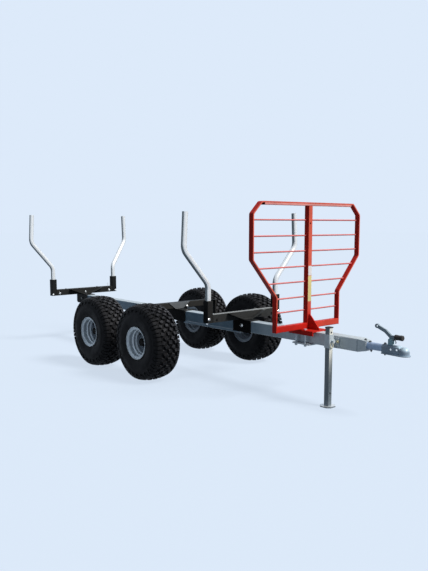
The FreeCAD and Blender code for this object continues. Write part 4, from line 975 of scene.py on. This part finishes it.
# %% A wire bent through an arc, with straight ends
def bent_wire(name, radius, bend, angle, start, end):
    """A wire in the XZ plane. It comes up along Z, bends toward +X and goes on straight."""
    only()
    bpy.ops.mesh.primitive_circle_add(vertices=8, radius=radius, fill_type="NGON", location=(0, 0, 0))
    wire = shape(name)
    pick_all()
    extrude((0, 0, start))
    bpy.ops.mesh.spin(steps=8, angle=angle, center=(bend, 0, start), axis=(0, 1, 0))
    extrude((math.sin(angle) * end, 0, math.cos(angle) * end))
    normals_out()
    return settle(wire, 40)


def set_wire(wire, name, finish, turn, place):
    """Turn a wire, given in degrees, and set it in its place."""
    wire.rotation_euler = [math.radians(angle) for angle in turn]
    wire.location = place
    return dress(settle(wire), name, finish)


ring = bent_wire("ring", radius=0.0022, bend=0.015, angle=math.radians(300), start=0.004, end=0.004)
latch = bent_wire("latch", radius=0.0025, bend=0.016, angle=math.radians(95), start=0.010, end=0.004)
clip = bent_wire("clip", radius=0.0016, bend=0.006, angle=math.radians(110), start=0.040, end=0.004)
set_wire(ring, "lock_pin_ring", "brass_pin", (0, 60, 90), (1.388, -0.108, 0.400))
set_wire(latch, "yoke_latch", "bracket_zinc", (0, -155, 0), (1.778, 0, 0.452))
set_wire(clip, "spring_clip", "bare_steel", (0, 0, -90), (-1.770, 0.259, 0.500))
print("wires", [len(w.data.polygons) for w in (ring, latch, clip)], "faces")

# %% A valve stem for each wheel, seated on the rim
STEM_RADIUS, STEM_LONG, STEM_OUT = 0.0045, 0.020, 0.008
STEM_BACK, STEM_UP, FAR_OUT = 0.060, 0.050, 0.8
for corner in CORNERS:
    (x, _, z), side = middle_and_side(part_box("tyre_" + corner))
    base = seat("rim_" + corner, (x - STEM_BACK, side * FAR_OUT, z + STEM_UP), (0, -side, 0))
    only()
    bpy.ops.mesh.primitive_cylinder_add(vertices=10, radius=STEM_RADIUS, depth=STEM_LONG,
                                        location=(base[0], base[1] + side * STEM_OUT, base[2]),
                                        rotation=(math.pi / 2, 0, 0))
    stem = shape("stem")
    pick(lambda face: abs(face.normal.z) > 0.9 and len(face.verts) > 4)
    inset_and_move(0.0012, (0, side * 0.004, 0))
    dress(settle(stem), "valve_stem_" + corner, "black_plastic", "wheel_" + corner)
    print("valve stem", corner, "at", tuple(round(v, 3) for v in base))

# %% A deep grease cap pressed over the end of each hub, with a rounded rim and a slightly sunk middle
CAP_FROM, CAP_TO, CAP_RADIUS = 0.5455, 0.588, 0.0275
for corner in CORNERS:
    (x, _, z), side = middle_and_side(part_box("hub_" + corner))
    only()
    bpy.ops.mesh.primitive_cylinder_add(vertices=28, radius=CAP_RADIUS, depth=CAP_TO - CAP_FROM,
                                        location=(x, side * (CAP_FROM + CAP_TO) / 2, z),
                                        rotation=(math.pi / 2, 0, 0))
    cap = shape("cap")
    pick(lambda face: face.normal.z * -side > 0.9)
    bpy.ops.mesh.bevel(offset=0.005, segments=3)
    pick(lambda face: face.normal.z * -side > 0.9 and len(face.verts) > 4)
    inset_and_move(0.004, (0, side * -0.002, 0))
    dress(settle(cap), "grease_cap_" + corner, "black_paint", "wheel_" + corner)
print("grease caps reach", CAP_TO, "m out")

# %% [markdown]
# ## Weld beads
# A bead is a row of round drops that overlap, each a little larger or smaller than the one before, as a hand
# leaves them. One drop is shaped and copied along each seam. A bump map would be cheaper, but it would not
# round off the corner between the two parts, and a bead of drops costs only about a thousand faces.

# %% Beads along the seams of the axle, the headboard's post and the beam's nose
DROP_STEP, UNEVEN, WAVE = 1.2, 0.12, 2.3


def weld(name, finish, first, last, radius=0.004):
    """Copies of one drop from first to last, joined into a bead."""
    only()
    bpy.ops.mesh.primitive_ico_sphere_add(subdivisions=1, radius=radius, location=(0, 0, 0))
    drop = shape("drop")
    pick_all()
    bpy.ops.mesh.subdivide(smoothness=1.0)
    first, last = Vector(first), Vector(last)
    count = max(2, int((last - first).length / (radius * DROP_STEP)))
    row = []
    for number in range(count + 1):
        copy = copy_of(drop)
        copy.location = first.lerp(last, number / count)
        copy.scale = [1 + UNEVEN * math.sin(number * WAVE)] * 3
        row.append(copy)
    bead = dress(settle(joined(*row), 60), name, finish)
    put_away(drop)
    print(name, len(bead.data.polygons), "faces")


for side, word in ((-1, "right"), (1, "left")):
    x, y = -0.262, side * 0.329
    weld("axle_weld_" + word, "black_paint", (x, y, 0.455), (x, y, 0.495))
    x, y = 1.533, side * 0.0395
    weld("nose_weld_" + word, "dark_zinc", (x, y, 0.372), (x, y, 0.436), 0.003)
weld("post_weld", "red_paint", (1.119, -0.016, 0.492), (1.119, 0.016, 0.492), 0.003)

# %% [markdown]
# ## The headboard's middle post
# The post is a folded channel as deep as the rim, open toward the load. It is shaped from a block: its front
# corners are rounded, its back is pushed in to hollow it, and a small hole is drilled near its top. A flat
# sheet with Solidify would do for the fold, but the block keeps the outside measures exact.

# %% The post, which stands in for the plain one of the CAD model
SHEET, HOLLOW = 0.003, 0.031
HOLE_RADIUS, HOLE_Y, HOLE_Z = 0.006, -0.004, 1.135
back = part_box("head_rim")[0][0]
low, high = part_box("head_post")
post = start_block("post", ((back + high[0]) / 2, 0, (low[2] + high[2]) / 2),
                   (high[0] - back, high[1] - low[1], high[2] - low[2]))
pick(lambda edge: abs(edge.verts[0].co.z - edge.verts[1].co.z) > 0.1
     and edge.verts[0].co.x > (back + high[0]) / 2, "edges")
bpy.ops.mesh.bevel(offset=SHEET, segments=2, affect="EDGES")
pick(lambda face: face.normal.x < -0.9)
inset_and_move(SHEET, (HOLLOW, 0, 0))
settle(post)
only()
bpy.ops.mesh.primitive_cylinder_add(vertices=16, radius=HOLE_RADIUS, depth=0.03,
                                    location=(high[0], HOLE_Y, HOLE_Z), rotation=(0, math.pi / 2, 0))
drill = bpy.context.object
only(post)
hole = post.modifiers.new("hole", "BOOLEAN")
hole.operation, hole.object, hole.solver = "DIFFERENCE", drill, "EXACT"
bpy.ops.object.modifier_apply(modifier="hole")
put_away(drill)
dress(settle(post), "formed_post", "red_paint")
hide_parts("head_post")
print("post", len(post.data.polygons), "faces")

# %% [markdown]
# ## Blank plates
# The headboard's middle post carries two stickers, one white and one yellow. They are left blank: thin plates
# with rounded corners that stand a fraction of a millimetre proud. A mask in the paint could show them, but
# a real edge catches the light and gives each its own finish.

# %% The two plates on the headboard's post
PLATE_THICK, PLATE_MARGIN = 0.0008, 0.002


def blank_plate(name, finish, low_z, high_z):
    """A thin plate on the post's face between two heights."""
    front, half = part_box("head_post")[1][:2]
    plate = start_block(name, (front, 0, (low_z + high_z) / 2),
                        (PLATE_THICK, 2 * (half - PLATE_MARGIN), high_z - low_z))
    pick(lambda edge: abs((edge.verts[0].co - edge.verts[1].co).x) > PLATE_THICK / 2, "edges")
    bpy.ops.mesh.bevel(offset=0.003, segments=3, affect="EDGES")
    return dress(settle(plate), name, finish)


blank_plate("white_blank", "white_plate", 0.800, 0.862)
blank_plate("yellow_blank", "yellow_plate", 0.632, 0.797)
print("two plates on the post,", PLATE_THICK, "m thick")
